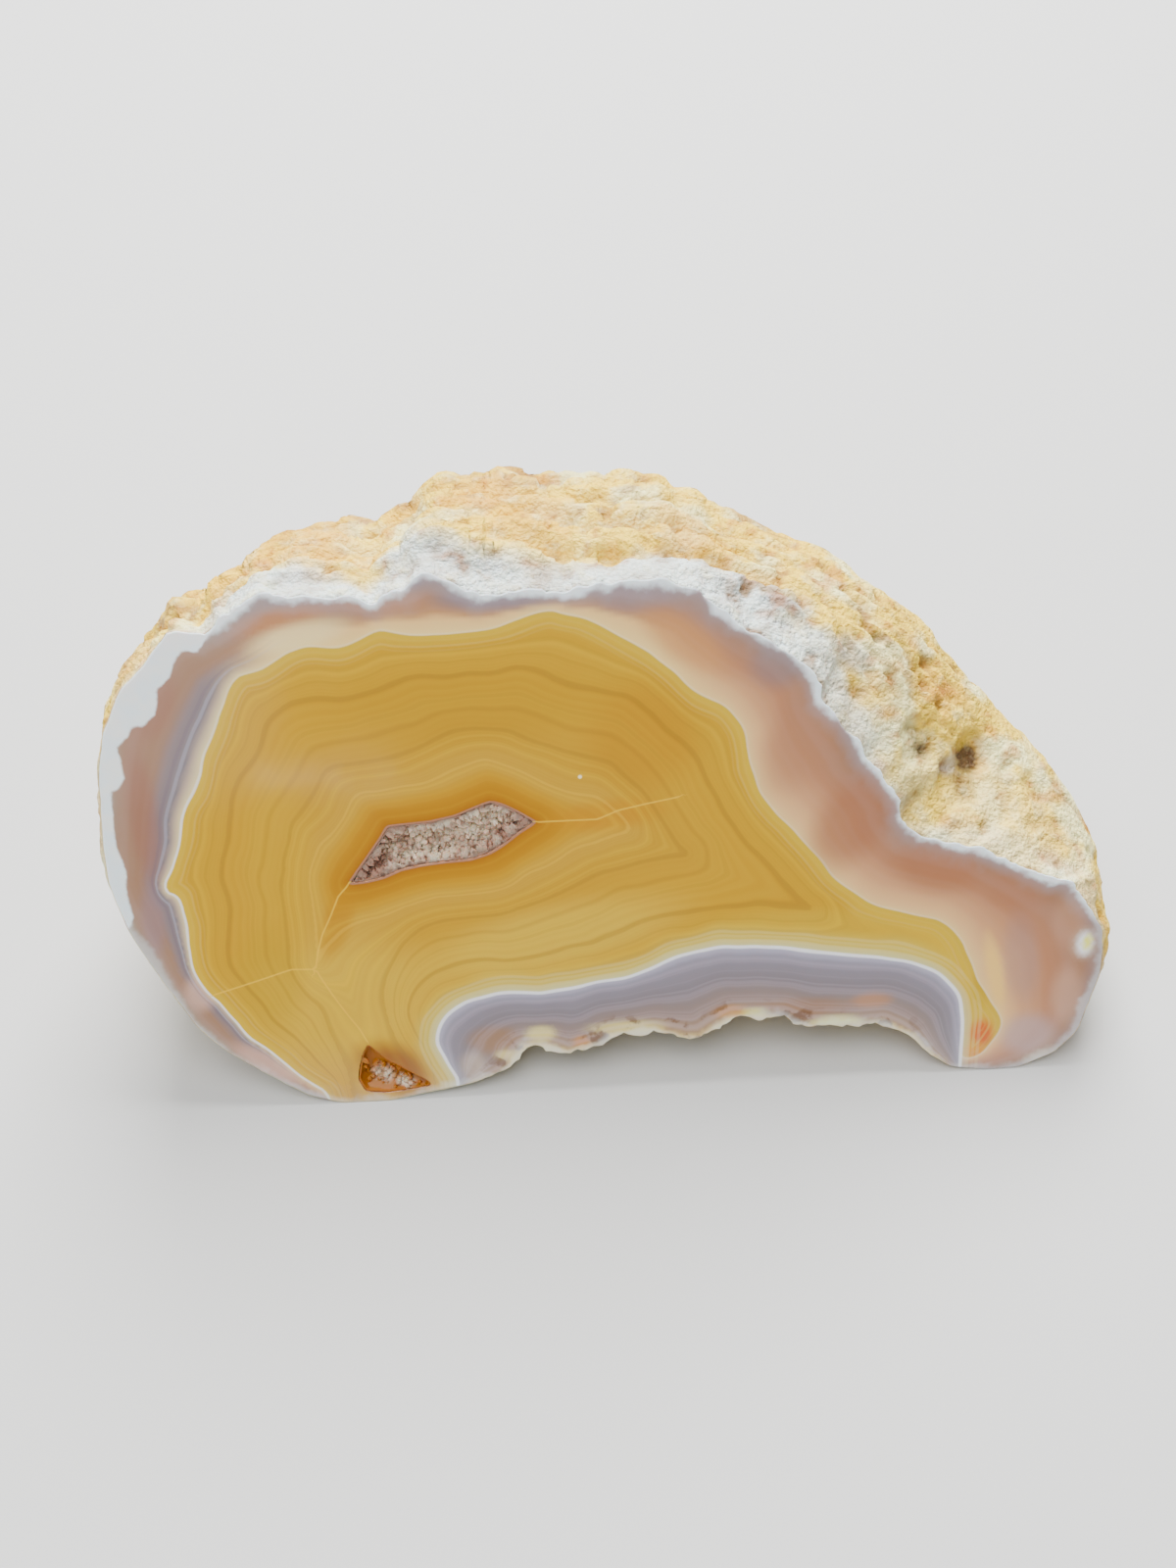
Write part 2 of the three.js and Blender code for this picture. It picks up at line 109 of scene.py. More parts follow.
# Outer edge of the golden bands, clockwise, and their lower edge along the white line
GOLD_OUTER: Points = [
    (-24.6, -3), (-25, 1), (-26.8, 2.5), (-29.2, 5), (-31.5, 7), (-32.4, 9), (-34.6, 12), (-35.3, 15),
    (-35.1, 20), (-36.6, 20.7), (-35.4, 23), (-34.7, 25), (-34.2, 27.4), (-32.7, 30), (-32.4, 31.2),
    (-30.8, 34.2), (-30.5, 35.5), (-29.1, 38.1), (-28, 38.4), (-26.4, 39.1), (-24.4, 40.4),
    (-22, 40.1), (-20, 40.4), (-18, 41.5), (-16.6, 41.1), (-14, 40.9), (-10.9, 41), (-8.8, 41.3),
    (-5, 42.5), (-3.6, 42.1), (-1.9, 41.7), (0.6, 40), (3.5, 38.3), (6, 35.7), (7, 34.8), (8.6, 34.1),
    (9.3, 33.2), (10, 31.9), (10.2, 30.5), (10.7, 28.6), (11.3, 26.9), (12.5, 25.2), (13.7, 24),
    (15, 22.2), (17.6, 18.8), (19, 17.4), (20.4, 16.5), (22, 15.8), (25.2, 15), (26.8, 14.5),
    (28.3, 12.6), (28.8, 11.2), (29.6, 9.8), (30, 8.4), (30.8, 7), (31.7, 5.8), (32.1, 4.8),
    (32, 3.8), (31.4, 2.6), (30.6, 1.7), (29.6, 1.3), (28.8, 1.6),
]
WHITE_LINE: Points = [
    (29, 4), (29, 5.6), (28.7, 6.8), (28, 8.2), (27, 9.4), (25.8, 10.2), (24.4, 10.9), (23, 11.4),
    (20, 11.8), (16, 12.4), (13, 12.8), (9, 13.3), (7.6, 13.2), (6, 12.8), (4, 12.3), (2, 11.3),
    (0.4, 10.9), (-2, 10.6), (-6.6, 9.8), (-8, 10), (-10, 10.1), (-11.6, 9.8), (-12.8, 9.4),
    (-14.2, 8.6), (-15, 7.8), (-15.5, 6.8), (-15.7, 5.4), (-15.5, 4.2), (-15.1, 3.2), (-14.6, 2.2),
    (-14.3, 1.4), (-14.3, -3),
]

# The broad dark line of the golden bands, the next one inside it, and the pale one round the core
MUSTARD_LINE: Points = [
    (-23.8, -3), (-24.2, 2.5), (-26.8, 5.6), (-28, 7.2), (-29.2, 8.4), (-30, 10.2), (-32.1, 13.2),
    (-32.2, 14.8), (-31.6, 18), (-31.7, 20), (-32.2, 21.6), (-31.1, 25.3), (-30, 29.6), (-28.4, 31.4),
    (-27.6, 32.8), (-27.2, 34.4), (-26, 35.6), (-24.6, 36.2), (-22, 36.1), (-20, 36.3), (-17.4, 37),
    (-15.4, 37.8), (-12, 37.6), (-9.8, 37.8), (-6.7, 38.1), (-3.6, 36.5), (-0.7, 35.8), (1, 35.5),
    (2.5, 34.2), (3.9, 32.7), (5.4, 31.3), (6.4, 30), (6.8, 28.6), (7.7, 26.5), (8.7, 24.8),
    (10, 22.8), (11.6, 21), (13.2, 19), (14.8, 17.2), (16, 16.2), (14, 16.5), (11, 16.8), (9, 16.9),
    (7, 16.7), (5, 16.4), (3, 16.1), (1, 15.5), (-1.2, 14.6), (-2.6, 14), (-5, 13.7), (-8, 12.9),
    (-12, 13), (-14, 12.7), (-16, 11.8), (-17.4, 10.6), (-18, 9.2), (-17.9, 8), (-17.4, 6.6),
    (-16.4, 5), (-16.2, -3),
]
INNER_LINE: Points = [
    (-23.2, -3), (-23.2, 3), (-24.6, 7), (-25, 9.2), (-26.2, 10.8), (-27.3, 12.8), (-27.3, 14.8),
    (-27.2, 18), (-27.3, 20.8), (-26.7, 22), (-26.2, 25.4), (-24.8, 27.2), (-23.6, 28.6),
    (-22.8, 30.4), (-20, 30.8), (-16, 31.4), (-13.6, 32.8), (-12, 33.2), (-9.8, 33.2), (-8.2, 32.9),
    (-6.5, 31.9), (-4, 30.9), (-0.7, 30), (0.6, 28.6), (2.1, 27.1), (2.7, 25.9), (3.6, 24.2),
    (4.6, 22.4), (5.6, 21.6), (4, 21.6), (2, 21.3), (0, 20.8), (-2, 20.3), (-4, 19.4), (-6, 18.3),
    (-8, 17.8), (-10, 17), (-14, 17), (-17, 16), (-19, 13.6), (-20, 11), (-19.8, 8), (-18.6, 5),
    (-16.9, 2), (-16.6, -3),
]
HALO_LINE: Points = [
    (-25, 14.8), (-25, 21), (-24.7, 22), (-24, 23.8), (-22.8, 25), (-21.8, 26.2), (-20.6, 28.3),
    (-18.4, 28.4), (-16.4, 28.7), (-13.6, 29.5), (-10.9, 30.7), (-9.8, 30.7), (-7.7, 29.5),
    (-5, 28), (-3.6, 27.4), (-1.5, 27), (0, 25.8), (1.2, 23.8), (-2, 23.2), (-4, 22.2), (-7, 20.7),
    (-8.4, 19.9), (-10, 19.3), (-12, 19.1), (-14, 19), (-16, 18.6), (-19.4, 17.4), (-21, 17.1),
    (-22.8, 16.4), (-23.9, 15.3), (-24.6, 14.2), (-25, 13.2),
]

# Inner border of the white skin that the polish has cut on the left, closed outside the stone
WHITE_SKIN: Points = [
    (-39.8, 17.3), (-39.2, 18.5), (-39.5, 21), (-39.4, 22), (-39.8, 26), (-39.8, 29.4), (-39, 29.5),
    (-38.4, 30.2), (-38.4, 31.6), (-38.7, 32.8), (-37.7, 33.8), (-37.3, 34.6), (-36.3, 34.6),
    (-35.4, 35.4), (-35, 36.6), (-35.1, 37.5), (-34, 38.6), (-33.4, 39.8), (-32.8, 40.6),
    (-31.6, 40.4), (-31, 41.2), (-30.4, 42), (-29.2, 42.8), (-28, 43.8), (-28, 50), (-50, 50),
    (-50, 17.3),
]

# Healed cracks, as thin pale lines on the polish
CRACKS: list[Points] = [
    [(-21.8, 20.5), (-22.8, 19.4), (-23.6, 17.6), (-24.4, 16), (-24.9, 14.4), (-25.2, 12.9),
     (-24.8, 12), (-24, 10.4), (-23, 8.6), (-22, 7), (-21.5, 5.8)],
    [(-25.2, 12.9), (-27.2, 13), (-30, 12.1), (-32, 11.5), (-33.7, 11)],
    [(-6.7, 25.1), (-1.7, 25.1), (0, 25.8), (2.5, 26.3), (4.8, 26.7)],
]


def linear(colour: Colour) -> np.ndarray:
    """Turn a screen colour of 0 to 255 into linear light."""
    c = np.array(colour, float) / 255
    return np.where(c <= 0.04045, c / 12.92, ((c + 0.055) / 1.055) ** 2.4)


def smooth_step(low: float, high: float, x: np.ndarray) -> np.ndarray:
    """Ease from 0 at low to 1 at high."""
    t = np.clip((x - low) / (high - low), 0, 1)
    return t * t * (3 - 2 * t)


def between(ends: tuple[float, float], share: np.ndarray) -> np.ndarray:
    """Go from the first of two numbers to the second by a share."""
    return ends[0] + (ends[1] - ends[0]) * share


def blend(a: np.ndarray, b: np.ndarray, share: np.ndarray) -> np.ndarray:
    """Blend rows of two colour arrays, or single colours, by a share for each row."""
    return a + (b - a) * np.asarray(share)[..., None]


def tinted(colours: np.ndarray, colour: Colour, share: np.ndarray) -> np.ndarray:
    """Blend rows of linear colours towards one screen colour."""
    return blend(colours, linear(colour), share)


def cell_value(i: np.ndarray, j: np.ndarray, k: np.ndarray) -> np.ndarray:
    """Give numbers between 0 and 1 that stay the same for the same cell of space."""
    wave = np.sin(i * CELL_TURNS[0] + j * CELL_TURNS[1] + k * CELL_TURNS[2]) * CELL_GAIN
    return wave - np.floor(wave)


def noise(x: np.ndarray, y: np.ndarray, z: np.ndarray | float) -> np.ndarray:
    """Work out smooth value noise with cells of size 1.

    Args:
        x: First coordinates.
        y: Second coordinates.
        z: Third coordinates, or one level for all.

    Returns:
        Numbers from -1 to 1.
    """
    x, y, z = np.broadcast_arrays(x, y, z)
    cells = [np.floor(a) for a in (x, y, z)]
    ease = [(a - c) ** 2 * (3 - 2 * (a - c)) for a, c in zip((x, y, z), cells)]
    total = np.zeros(x.shape)
    for corner in range(8):
        step = (corner & 1, corner >> 1 & 1, corner >> 2)
        weight = np.ones(x.shape)
        for s, e in zip(step, ease):
            weight = weight * (e if s else 1 - e)
        total += weight * cell_value(*(c + s for c, s in zip(cells, step)))
    return 2 * total - 1


def flat_noise(u: np.ndarray, v: np.ndarray, cell: float, level: float) -> np.ndarray:
    """Give noise over the face with cells of a size in millimetres."""
    return noise(u / cell, v / cell, level)


def line_distance(points: np.ndarray, line: Points) -> np.ndarray:
    """Measure the distance from points to an open line of straight runs.

    Args:
        points: Rows of u and v.
        line: The corners of the line.

    Returns:
        Distances in millimetres.
    """
    best = np.full(len(points), np.inf)
    for a, b in zip(np.array(line[:-1], float), np.array(line[1:], float)):
        run = b - a
        share = np.clip((points - a) @ run / max(run @ run, 1e-12), 0, 1)
        best = np.minimum(best, np.linalg.norm(points - a - share[:, None] * run, axis=1))
    return best


def signed_distance(points: np.ndarray, outline: Points) -> np.ndarray:
    """Measure how far points lie inside a closed outline.

    Args:
        points: Rows of u and v.
        outline: The closed outline's corners.

    Returns:
        Distances in millimetres, above zero inside the outline.
    """
    corners = np.array(outline, float)
    inside = np.zeros(len(points), bool)
    for a, b in zip(corners, np.roll(corners, -1, axis=0)):
        if a[1] == b[1]:
            continue
        crosses = (a[1] > points[:, 1]) != (b[1] > points[:, 1])
        at = a[0] + (points[:, 1] - a[1]) / (b[1] - a[1]) * (b[0] - a[0])
        inside ^= crosses & (points[:, 0] < at)
    gap = line_distance(points, [*corners, corners[0]])
    return np.where(inside, gap, -gap)


def line_side(points: np.ndarray, line: Points) -> np.ndarray:
    """Tell the two sides of an open line apart.

    Args:
        points: Rows of u and v.
        line: The corners of the line.

    Returns:
        1 on one side and -1 on the other.
    """
    best, side = np.full(len(points), np.inf), np.ones(len(points))
    for a, b in zip(np.array(line[:-1], float), np.array(line[1:], float)):
        away = line_distance(points, [a, b])
        turn = (b - a)[0] * (points - a)[:, 1] - (b - a)[1] * (points - a)[:, 0]
        side = np.where(away < best, np.where(turn < 0, -1, 1), side)
        best = np.minimum(best, away)
    return side


def soften(outline: Points) -> np.ndarray:
    """Cut the corners of a closed outline twice.

    Args:
        outline: The outline's corners.

    Returns:
        The new corners.
    """
    corners = np.array(outline, float)
    for _ in range(2):
        after = np.roll(corners, -1, axis=0)
        cuts = [0.75 * corners + 0.25 * after, 0.25 * corners + 0.75 * after]
        corners = np.stack(cuts, 1).reshape(-1, 2)
    return corners


def resample(outline: Points, count: int, smoothing: float) -> np.ndarray:
    """Space points evenly along a closed outline.

    Args:
        outline: The outline's corners.
        count: How many points to place.
        smoothing: How many neighbours on each side the corners are eased over.

    Returns:
        Rows of u and v.
    """
    corners = np.array(outline + outline[:1], float)
    along = np.concatenate([[0], np.cumsum(np.linalg.norm(np.diff(corners, axis=0), axis=1))])
    goal = along[-1] * np.arange(count) / count
    points = np.stack([np.interp(goal, along, corners[:, axis]) for axis in (0, 1)], axis=1)
    reach = int(math.ceil(3 * smoothing))
    weights = np.exp(-0.5 * (np.arange(-reach, reach + 1) / smoothing) ** 2)
    weights /= weights.sum()
    return sum(w * np.roll(points, s, axis=0) for s, w in zip(range(-reach, reach + 1), weights))


def nearest_on_spine(spine: Points, points: np.ndarray) -> tuple[np.ndarray, np.ndarray]:
    """Find the nearest points of a straight spine.

    Args:
        spine: The two ends of the spine.
        points: Rows of u and v.

    Returns:
        The nearest points, and how far along the spine they lie, from 0 to 1.
    """
    a, b = np.array(spine, float)
    share = np.clip((points - a) @ (b - a) / ((b - a) @ (b - a)), 0, 1)
    return a + share[:, None] * (b - a), share


def inside_loops(points: np.ndarray, loops: list[np.ndarray], margin: float) -> np.ndarray:
    """Tell which points lie inside an outline and outside its holes, by more than a margin.

    Args:
        points: Rows of two coordinates.
        loops: The outline and the holes.
        margin: The least distance to each of them.

    Returns:
        True or false for each point.
    """
    inside = signed_distance(points, loops[0]) > margin
    for hole in loops[1:]:
        inside &= signed_distance(points, hole) < -margin
    return inside


def fill_region(loops: list[np.ndarray], spacing: float) -> tuple[np.ndarray, np.ndarray]:
    """Fill an outline, less its holes, with even triangles.

    Args:
        loops: The outline and the holes, each as rows of two coordinates.
        spacing: The distance between the points placed inside.

    Returns:
        All points, those of the loops first and in order, and rows of three point numbers
        that turn anticlockwise.
    """
    low, high = loops[0].min(axis=0), loops[0].max(axis=0)
    rows = np.arange(low[1], high[1], spacing * math.sqrt(3) / 2)
    columns = np.arange(low[0], high[0], spacing)
    grid = np.array([(x + spacing / 2 * (r % 2), y) for r, y in enumerate(rows) for x in columns])
    points = np.concatenate(loops + [grid[inside_loops(grid, loops, 0.55 * spacing)]])
    edges, first = [], 0
    for loop in loops:
        edges += [(first + i, first + (i + 1) % len(loop)) for i in range(len(loop))]
        first += len(loop)
    _, _, cells, origins, _, _ = delaunay_2d_cdt([Vector(p) for p in points], edges, [], 0, 1e-9)
    source = [origin[0] if origin else len(points) for origin in origins]
    if len(points) in source:
        LOG.warning("an outline of %d points crosses itself", len(loops[0]))
    triangles = np.array([[source[i] for i in cell] for cell in cells])
    triangles = triangles[inside_loops(points[triangles].mean(axis=1), loops, 0)]
    a, b, c = (points[triangles[:, i]] for i in range(3))
    turn = (b - a)[:, 0] * (c - a)[:, 1] - (b - a)[:, 1] * (c - a)[:, 0]
    triangles[turn < 0] = triangles[turn < 0][:, ::-1]
    return points, triangles


def ring_faces(rings: int, count: int, first: int = 0) -> list[tuple[int, ...]]:
    """Join closed rings of points by faces of four corners.

    Args:
        rings: How many rings there are.
        count: How many points each of them has.
        first: The number of the first point.

    Returns:
        Rows of four point numbers, ring after ring.
    """
    faces = []
    for start in range(first, first + (rings - 1) * count, count):
        for i in range(count):
            a, b = start + i, start + (i + 1) % count
            faces.append((a, b, b + count, a + count))
    return faces


def read_points(mesh: bpy.types.Mesh) -> np.ndarray:
    """Read the points of a mesh.

    Args:
        mesh: The mesh.

    Returns:
        Rows of metres.
    """
    points = np.empty(len(mesh.vertices) * 3)
    mesh.vertices.foreach_get("co", points)
    return points.reshape(-1, 3)


def store_field(mesh: bpy.types.Mesh, name: str, values: np.ndarray) -> None:
    """Store one number for each point of a mesh."""
    layer = mesh.attributes.new(name, "FLOAT", "POINT")
    layer.data.foreach_set("value", np.ascontiguousarray(values, dtype=np.float32))


def store_colour(mesh: bpy.types.Mesh, name: str, values: np.ndarray) -> None:
    """Store one linear colour for each point of a mesh.

    Args:
        mesh: The mesh.
        name: The name to store it by.
        values: Rows of linear colours.
    """
    layer = mesh.attributes.new(name, "FLOAT_COLOR", "POINT")
    rgba = np.concatenate([values, np.ones((len(values), 1))], axis=1)
    layer.data.foreach_set("color", np.ascontiguousarray(rgba, dtype=np.float32).ravel())


@dataclass(frozen=True)
class FaceFrame:
    """Places face coordinates in the model's frame."""

    lean: float = math.radians(60)
    foot_line: tuple[float, float, float] = (-0.18, -21.83, 0)

    def place(self, uvw: np.ndarray) -> np.ndarray:
        """Turn face coordinates into the model's.

        Args:
            uvw: Rows of u, v and w in millimetres.

        Returns:
            Rows of metres.
        """
        u, v, w = np.moveaxis(np.asarray(uvw, float), -1, 0)
        across, up = math.cos(self.lean), math.sin(self.lean)
        points = np.stack([u, v * across + w * up, v * up - w * across], axis=-1)
        return (points + self.foot_line) * MM

    def read(self, points: np.ndarray) -> np.ndarray:
        """Turn the model's coordinates into those of the face.

        Args:
            points: Rows of metres.

        Returns:
            Rows of u, v and w in millimetres.
        """
        x, y, z = np.moveaxis(points / MM - self.foot_line, -1, 0)
        across, up = math.cos(self.lean), math.sin(self.lean)
        return np.stack([x, y * across + z * up, y * up - z * across], axis=-1)


FACE = FaceFrame()


class Part(Enum):
    """The kinds of surface of the stone, in the order of its material slots."""

    POLISH = 0
    CRUST = 1
    HOLLOW = 2
    GROUND = 3


@dataclass(frozen=True)
class Tint:
    """A colour that is laid over others, and how strongly."""

    colour: Colour
    strength: float


class Nodes:
    """Adds nodes to one node tree and joins them."""

    def __init__(self, tree: bpy.types.NodeTree) -> None:
        """Work on the given tree."""
        self.tree = tree

    def add(self, kind: str, inputs: dict[str | int, object] | None = None,
            **settings: object) -> bpy.types.Node:
        """Add a node.

        Args:
            kind: The kind of node.
            inputs: What its inputs are linked or set to, by their names or numbers.
            **settings: Its other properties.

        Returns:
            The node.
        """
        node = self.tree.nodes.new(kind)
        for key, value in settings.items():
            setattr(node, key, value)
        for key, value in (inputs or {}).items():
            self.feed(node.inputs[key], value)
        return node

    def feed(self, socket: Socket, value: object) -> None:
        """Link a socket to another one, or set its own value.

        Args:
            socket: The input to feed.
            value: Another node's output, or a value.
        """
        if isinstance(value, Socket):
            self.tree.links.new(value, socket)
        elif isinstance(value, (tuple, list, np.ndarray)) and socket.type == "RGBA":
            socket.default_value = (*value[:3], 1)
        else:
            socket.default_value = value

    def calc(self, operation: str, a: object, b: object = 0.0, clamp: bool = False) -> Socket:
        """Combine two numbers."""
        return self.add("ShaderNodeMath", {0: a, 1: b}, operation=operation, use_clamp=clamp).outputs[0]

    def product(self, value: object, *factors: object) -> Socket:
        """Multiply a number by others in order.

        Args:
            value: The number.
            *factors: The others.

        Returns:
            The product.
        """
        for factor in factors:
            value = self.calc("MULTIPLY", value, factor)
        return value


class Shader(Nodes):
    """Builds one procedural material, node by node."""

    def __init__(self, name: str) -> None:
        """Start an empty material.

        Args:
            name: Its name.
        """
        self.material = bpy.data.materials.new(name)
        self.material.use_nodes = True
        super().__init__(self.material.node_tree)
        self.tree.nodes.clear()

    def field(self, name: str) -> Socket:
        """Read a number stored on the mesh."""
        return self.add("ShaderNodeAttribute", attribute_name=name).outputs["Fac"]

    def colour(self, name: str) -> Socket:
        """Read a colour stored on the mesh."""
        return self.add("ShaderNodeAttribute", attribute_name=name).outputs["Color"]

    def place(self) -> Socket:
        """Give the point's place in the object, in metres."""
        return self.add("ShaderNodeTexCoord").outputs["Object"]

    def mix(self, share: object, a: object, b: object, how: str = "MIX") -> Socket:
        """Mix two colours by a share."""
        return self.add("ShaderNodeMix", {0: share, 6: a, 7: b}, data_type="RGBA", blend_type=how).outputs[2]

    def paint(self, base: object, share: object, tint: Tint) -> Socket:
        """Lay a tint over a colour by a share."""
        return self.mix(self.product(share, tint.strength), base, linear(tint.colour))

    def grade(self, value: object, low: float, high: float) -> Socket:
        """Ease a number from 0 at low to 1 at high."""
        return self.add("ShaderNodeMapRange", {"Value": value, "From Min": low, "From Max": high},
                        interpolation_type="SMOOTHSTEP").outputs["Result"]

    def fade(self, value: object, low: float, high: float) -> Socket:
        """Ease a number from 1 at low to 0 at high."""
        return self.calc("SUBTRACT", 1.0, self.grade(value, low, high))

    def ramp(self, value: object, stops: Layers) -> Socket:
        """Colour a number from 0 to 1.

        Args:
            value: The number.
            stops: Places from 0 to 1, each with its screen colour.

        Returns:
            The colour.
        """
        node = self.add("ShaderNodeValToRGB", {"Fac": value})
        elements = node.color_ramp.elements
        while len(elements) < len(stops):
            elements.new(0.5)
        for element, (at, colour) in zip(elements, stops):
            element.position = at
            element.color = (*linear(colour), 1)
        return node.outputs["Color"]

    def lines(self, base: object, value: object, colour: Colour, lines: Lines,
              share: object = 1.0) -> Socket:
        """Draw thin lines where a number has certain values.

        Args:
            base: The colour under the lines.
            value: The number.
            colour: The colour of the lines.
            lines: The place, width and strength of each line.
            share: How strongly all of them show, as one number or a number on the mesh.

        Returns:
            The colour with the lines on it.
        """
        for at, width, strength in lines:
            offset = self.calc("ABSOLUTE", self.calc("SUBTRACT", value, at))
            drawn = self.product(self.fade(offset, width * 0.35, width), share)
            base = self.paint(base, drawn, Tint(colour, strength))
        return base

    def spot(self, at: np.ndarray, radius: float) -> Socket:
        """Draw a round spot about a point: 1 inside, 0 from a radius away."""
        away = self.add("ShaderNodeVectorMath", {0: self.place(), 1: tuple(at)}, operation="DISTANCE")
        return self.fade(away.outputs["Value"], radius * 0.6, radius)

    def grain(self, scale: float, detail: float) -> Socket:
        """Give solid noise from 0 to 1, at a scale in features a metre."""
        inputs = {"Vector": self.place(), "Scale": scale, "Detail": detail}
        return self.add("ShaderNodeTexNoise", inputs).outputs["Fac"]

    def growth_lines(self, value: object, scale: float, detail: float) -> Socket:
        """Give noise along one number alone, as the fine layers of an agate."""
        inputs = {"W": value, "Scale": scale, "Detail": detail}
        return self.add("ShaderNodeTexNoise", inputs, noise_dimensions="1D").outputs["Fac"]

    def bump(self, height: object, strength: float, distance: float) -> Socket:
        """Turn a height into a normal."""
        inputs = {"Strength": strength, "Distance": distance, "Height": height}
        return self.add("ShaderNodeBump", inputs).outputs["Normal"]

    def finish(self, **sockets: object) -> bpy.types.Material:
        """Add the surface and end the material.

        Args:
            **sockets: The surface's inputs, by their names.

        Returns:
            The material.
        """
        inputs = {name.replace("_", " "): value for name, value in sockets.items()}
        surface = self.add("ShaderNodeBsdfPrincipled", inputs)
        self.add("ShaderNodeOutputMaterial", {0: surface.outputs[0]})
        return self.material


@dataclass(frozen=True)
class PolishFinish:
    """The mirror-polished, banded face."""

    skin: Colour = (236, 248, 252)
    bright_skin: Colour = (246, 250, 246)
    outer_layers: Tint = Tint((243, 211, 211), 0.045)
    gold_layers: Tint = Tint((246, 203, 0), 0.25)
    fine_layers: tuple[float, float, float] = (0.96, 0.94, 0.92)
    lower_layers: Tint = Tint((243, 224, 243), 0.12)
    haze_above: Tint = Tint((208, 192, 92), 0.68)
    haze_below: Tint = Tint((172, 170, 188), 0.45)
    mist: Tint = Tint((214, 218, 190), 0.4)
    specks: Tint = Tint((104, 66, 34), 0.8)
    bay_rim: Tint = Tint((216, 200, 162), 0.65)
    glow: Tint = Tint((176, 174, 182), 0.28)
    dark_line: Colour = (140, 98, 34)
    dark_lines: Lines = ((0.42, 0.05, 0.16), (0.68, 0.04, 0.14), (1.0, 0.07, 0.36), (1.42, 0.04, 0.14),
                         (1.63, 0.05, 0.18), (2.0, 0.07, 0.3), (2.45, 0.04, 0.12))
    pale_line: Colour = (214, 178, 76)
    pale_lines: Lines = ((0.95, 0.13, 0.5), (1.3, 0.1, 0.2), (0.45, 0.12, 0.2))
    lemon_line: Colour = (234, 224, 160)
    lemon_lines: Lines = ((-0.5, 0.2, 0.2), (-0.9, 0.2, 0.12), (-1.3, 0.2, 0.18))
    white_line: Colour = (246, 246, 246)
    outline: Lines = ((-0.06, 0.15, 1.0),)
    bay_outline: Lines = ((0.09, 0.21, 0.85),)
    left_grey: Colour = (180, 178, 192)
    left_grey_line: Lines = ((-0.2, 0.03, 0.35),)
    left_plum: Colour = (112, 96, 110)
    left_plum_line: Lines = ((-0.27, 0.03, 0.3),)
    crack: Colour = (238, 192, 44)
    crack_line: Lines = ((0, 0.1, 0.75),)
    core_line: Lines = ((3.0, 0.045, 0.3),)
    vug: Colour = (168, 124, 108)
    vug_line: Lines = ((3.99, 0.05, 0.7),)
    fleck: Colour = (246, 236, 190)
    fleck_at: tuple[float, float, float] = (-3, 28.8, 0)
    fleck_radius: float = 0.0002
    roughness: float = 0.07
    unevenness: float = 0.06

    def build(self) -> bpy.types.Material:
        """Make the material from the bands and colours stored on the face.

        Returns:
            The material.
        """
        s = Shader("polished_agate")
        band, gold, low = s.field("band"), s.field("gold_mm"), s.field("low_mm")
        layers = s.grade(s.growth_lines(band, 5, 1), 0.42, 0.75)
        outer = s.paint(s.colour("outer_colour"), layers, self.outer_layers)
        base = s.mix(s.grade(gold, -0.06, 0.06), outer, self.golden(s, band, gold))
        above = s.product(low, -1.0)
        haze = s.product(s.fade(above, 0.0, 2.5), s.field("haze_on"))
        base = s.paint(base, haze, self.haze_above)
        base = s.paint(base, s.fade(above, 0.1, 0.8), self.mist)
        base = s.lines(base, low, self.lemon_line, self.lemon_lines)
        base = s.mix(s.grade(low, -0.08, 0.08), base, self.lower(s, low))
        base = s.lines(base, gold, self.white_line, self.outline, s.field("gold_line"))
        base = s.lines(base, low, self.white_line, self.bay_outline)
        left = s.field("left_on")
        base = s.lines(base, band, self.left_grey, self.left_grey_line, left)
        base = s.lines(base, band, self.left_plum, self.left_plum_line, left)
        base = self.bay_edge(s, base)
        base = s.lines(base, s.field("crack_mm"), self.crack, self.crack_line, s.field("crack_on"))
        base = self.white_edge(s, base)
        fleck = s.spot(FACE.place(np.array([self.fleck_at]))[0], self.fleck_radius)
        base = s.mix(fleck, base, linear(self.fleck))
        uneven = s.product(s.grade(s.grain(260, 6), 0.45, 0.75), self.unevenness)
        return s.finish(Base_Color=base, Roughness=s.calc("ADD", self.roughness, uneven), IOR=1.54,
                        Normal=s.bump(s.growth_lines(band, 9, 2), 0.01, 0.0001),
                        Subsurface_Weight=0.12, Subsurface_Scale=0.0012)

    def golden(self, s: Shader, band: Socket, gold: Socket) -> Socket:
        """Colour the golden zone with its fine growth lines.

        Args:
            s: The material being built.
            band: The number of the band.
            gold: The distance inside the golden zone's edge.

        Returns:
            The colour.
        """
        fine = s.grade(s.growth_lines(band, 13, 4), 0.35, 0.65)
        colour = s.mix(fine, s.colour("gold_colour"), self.fine_layers, "MULTIPLY")
        colour = s.paint(colour, s.grade(s.growth_lines(band, 3.1, 2), 0.5, 0.75), self.gold_layers)
        colour = s.lines(colour, band, self.dark_line, self.dark_lines)
        colour = s.lines(colour, gold, self.pale_line, self.pale_lines)
        colour = s.lines(colour, band, self.crack, self.core_line)
        return s.lines(colour, band, self.vug, self.vug_line)

    def lower(self, s: Shader, low: Socket) -> Socket:
        """Colour the lavender zone between the white line and the bay.

        Args:
            s: The material being built.
            low: The distance below the white line.

        Returns:
            The colour.
        """
        layers = s.grade(s.growth_lines(s.field("low_band"), 9, 2), 0.4, 0.7)
        colour = s.paint(s.colour("low_colour"), layers, self.lower_layers)
        return s.paint(colour, s.fade(low, 0.0, 1.3), self.haze_below)

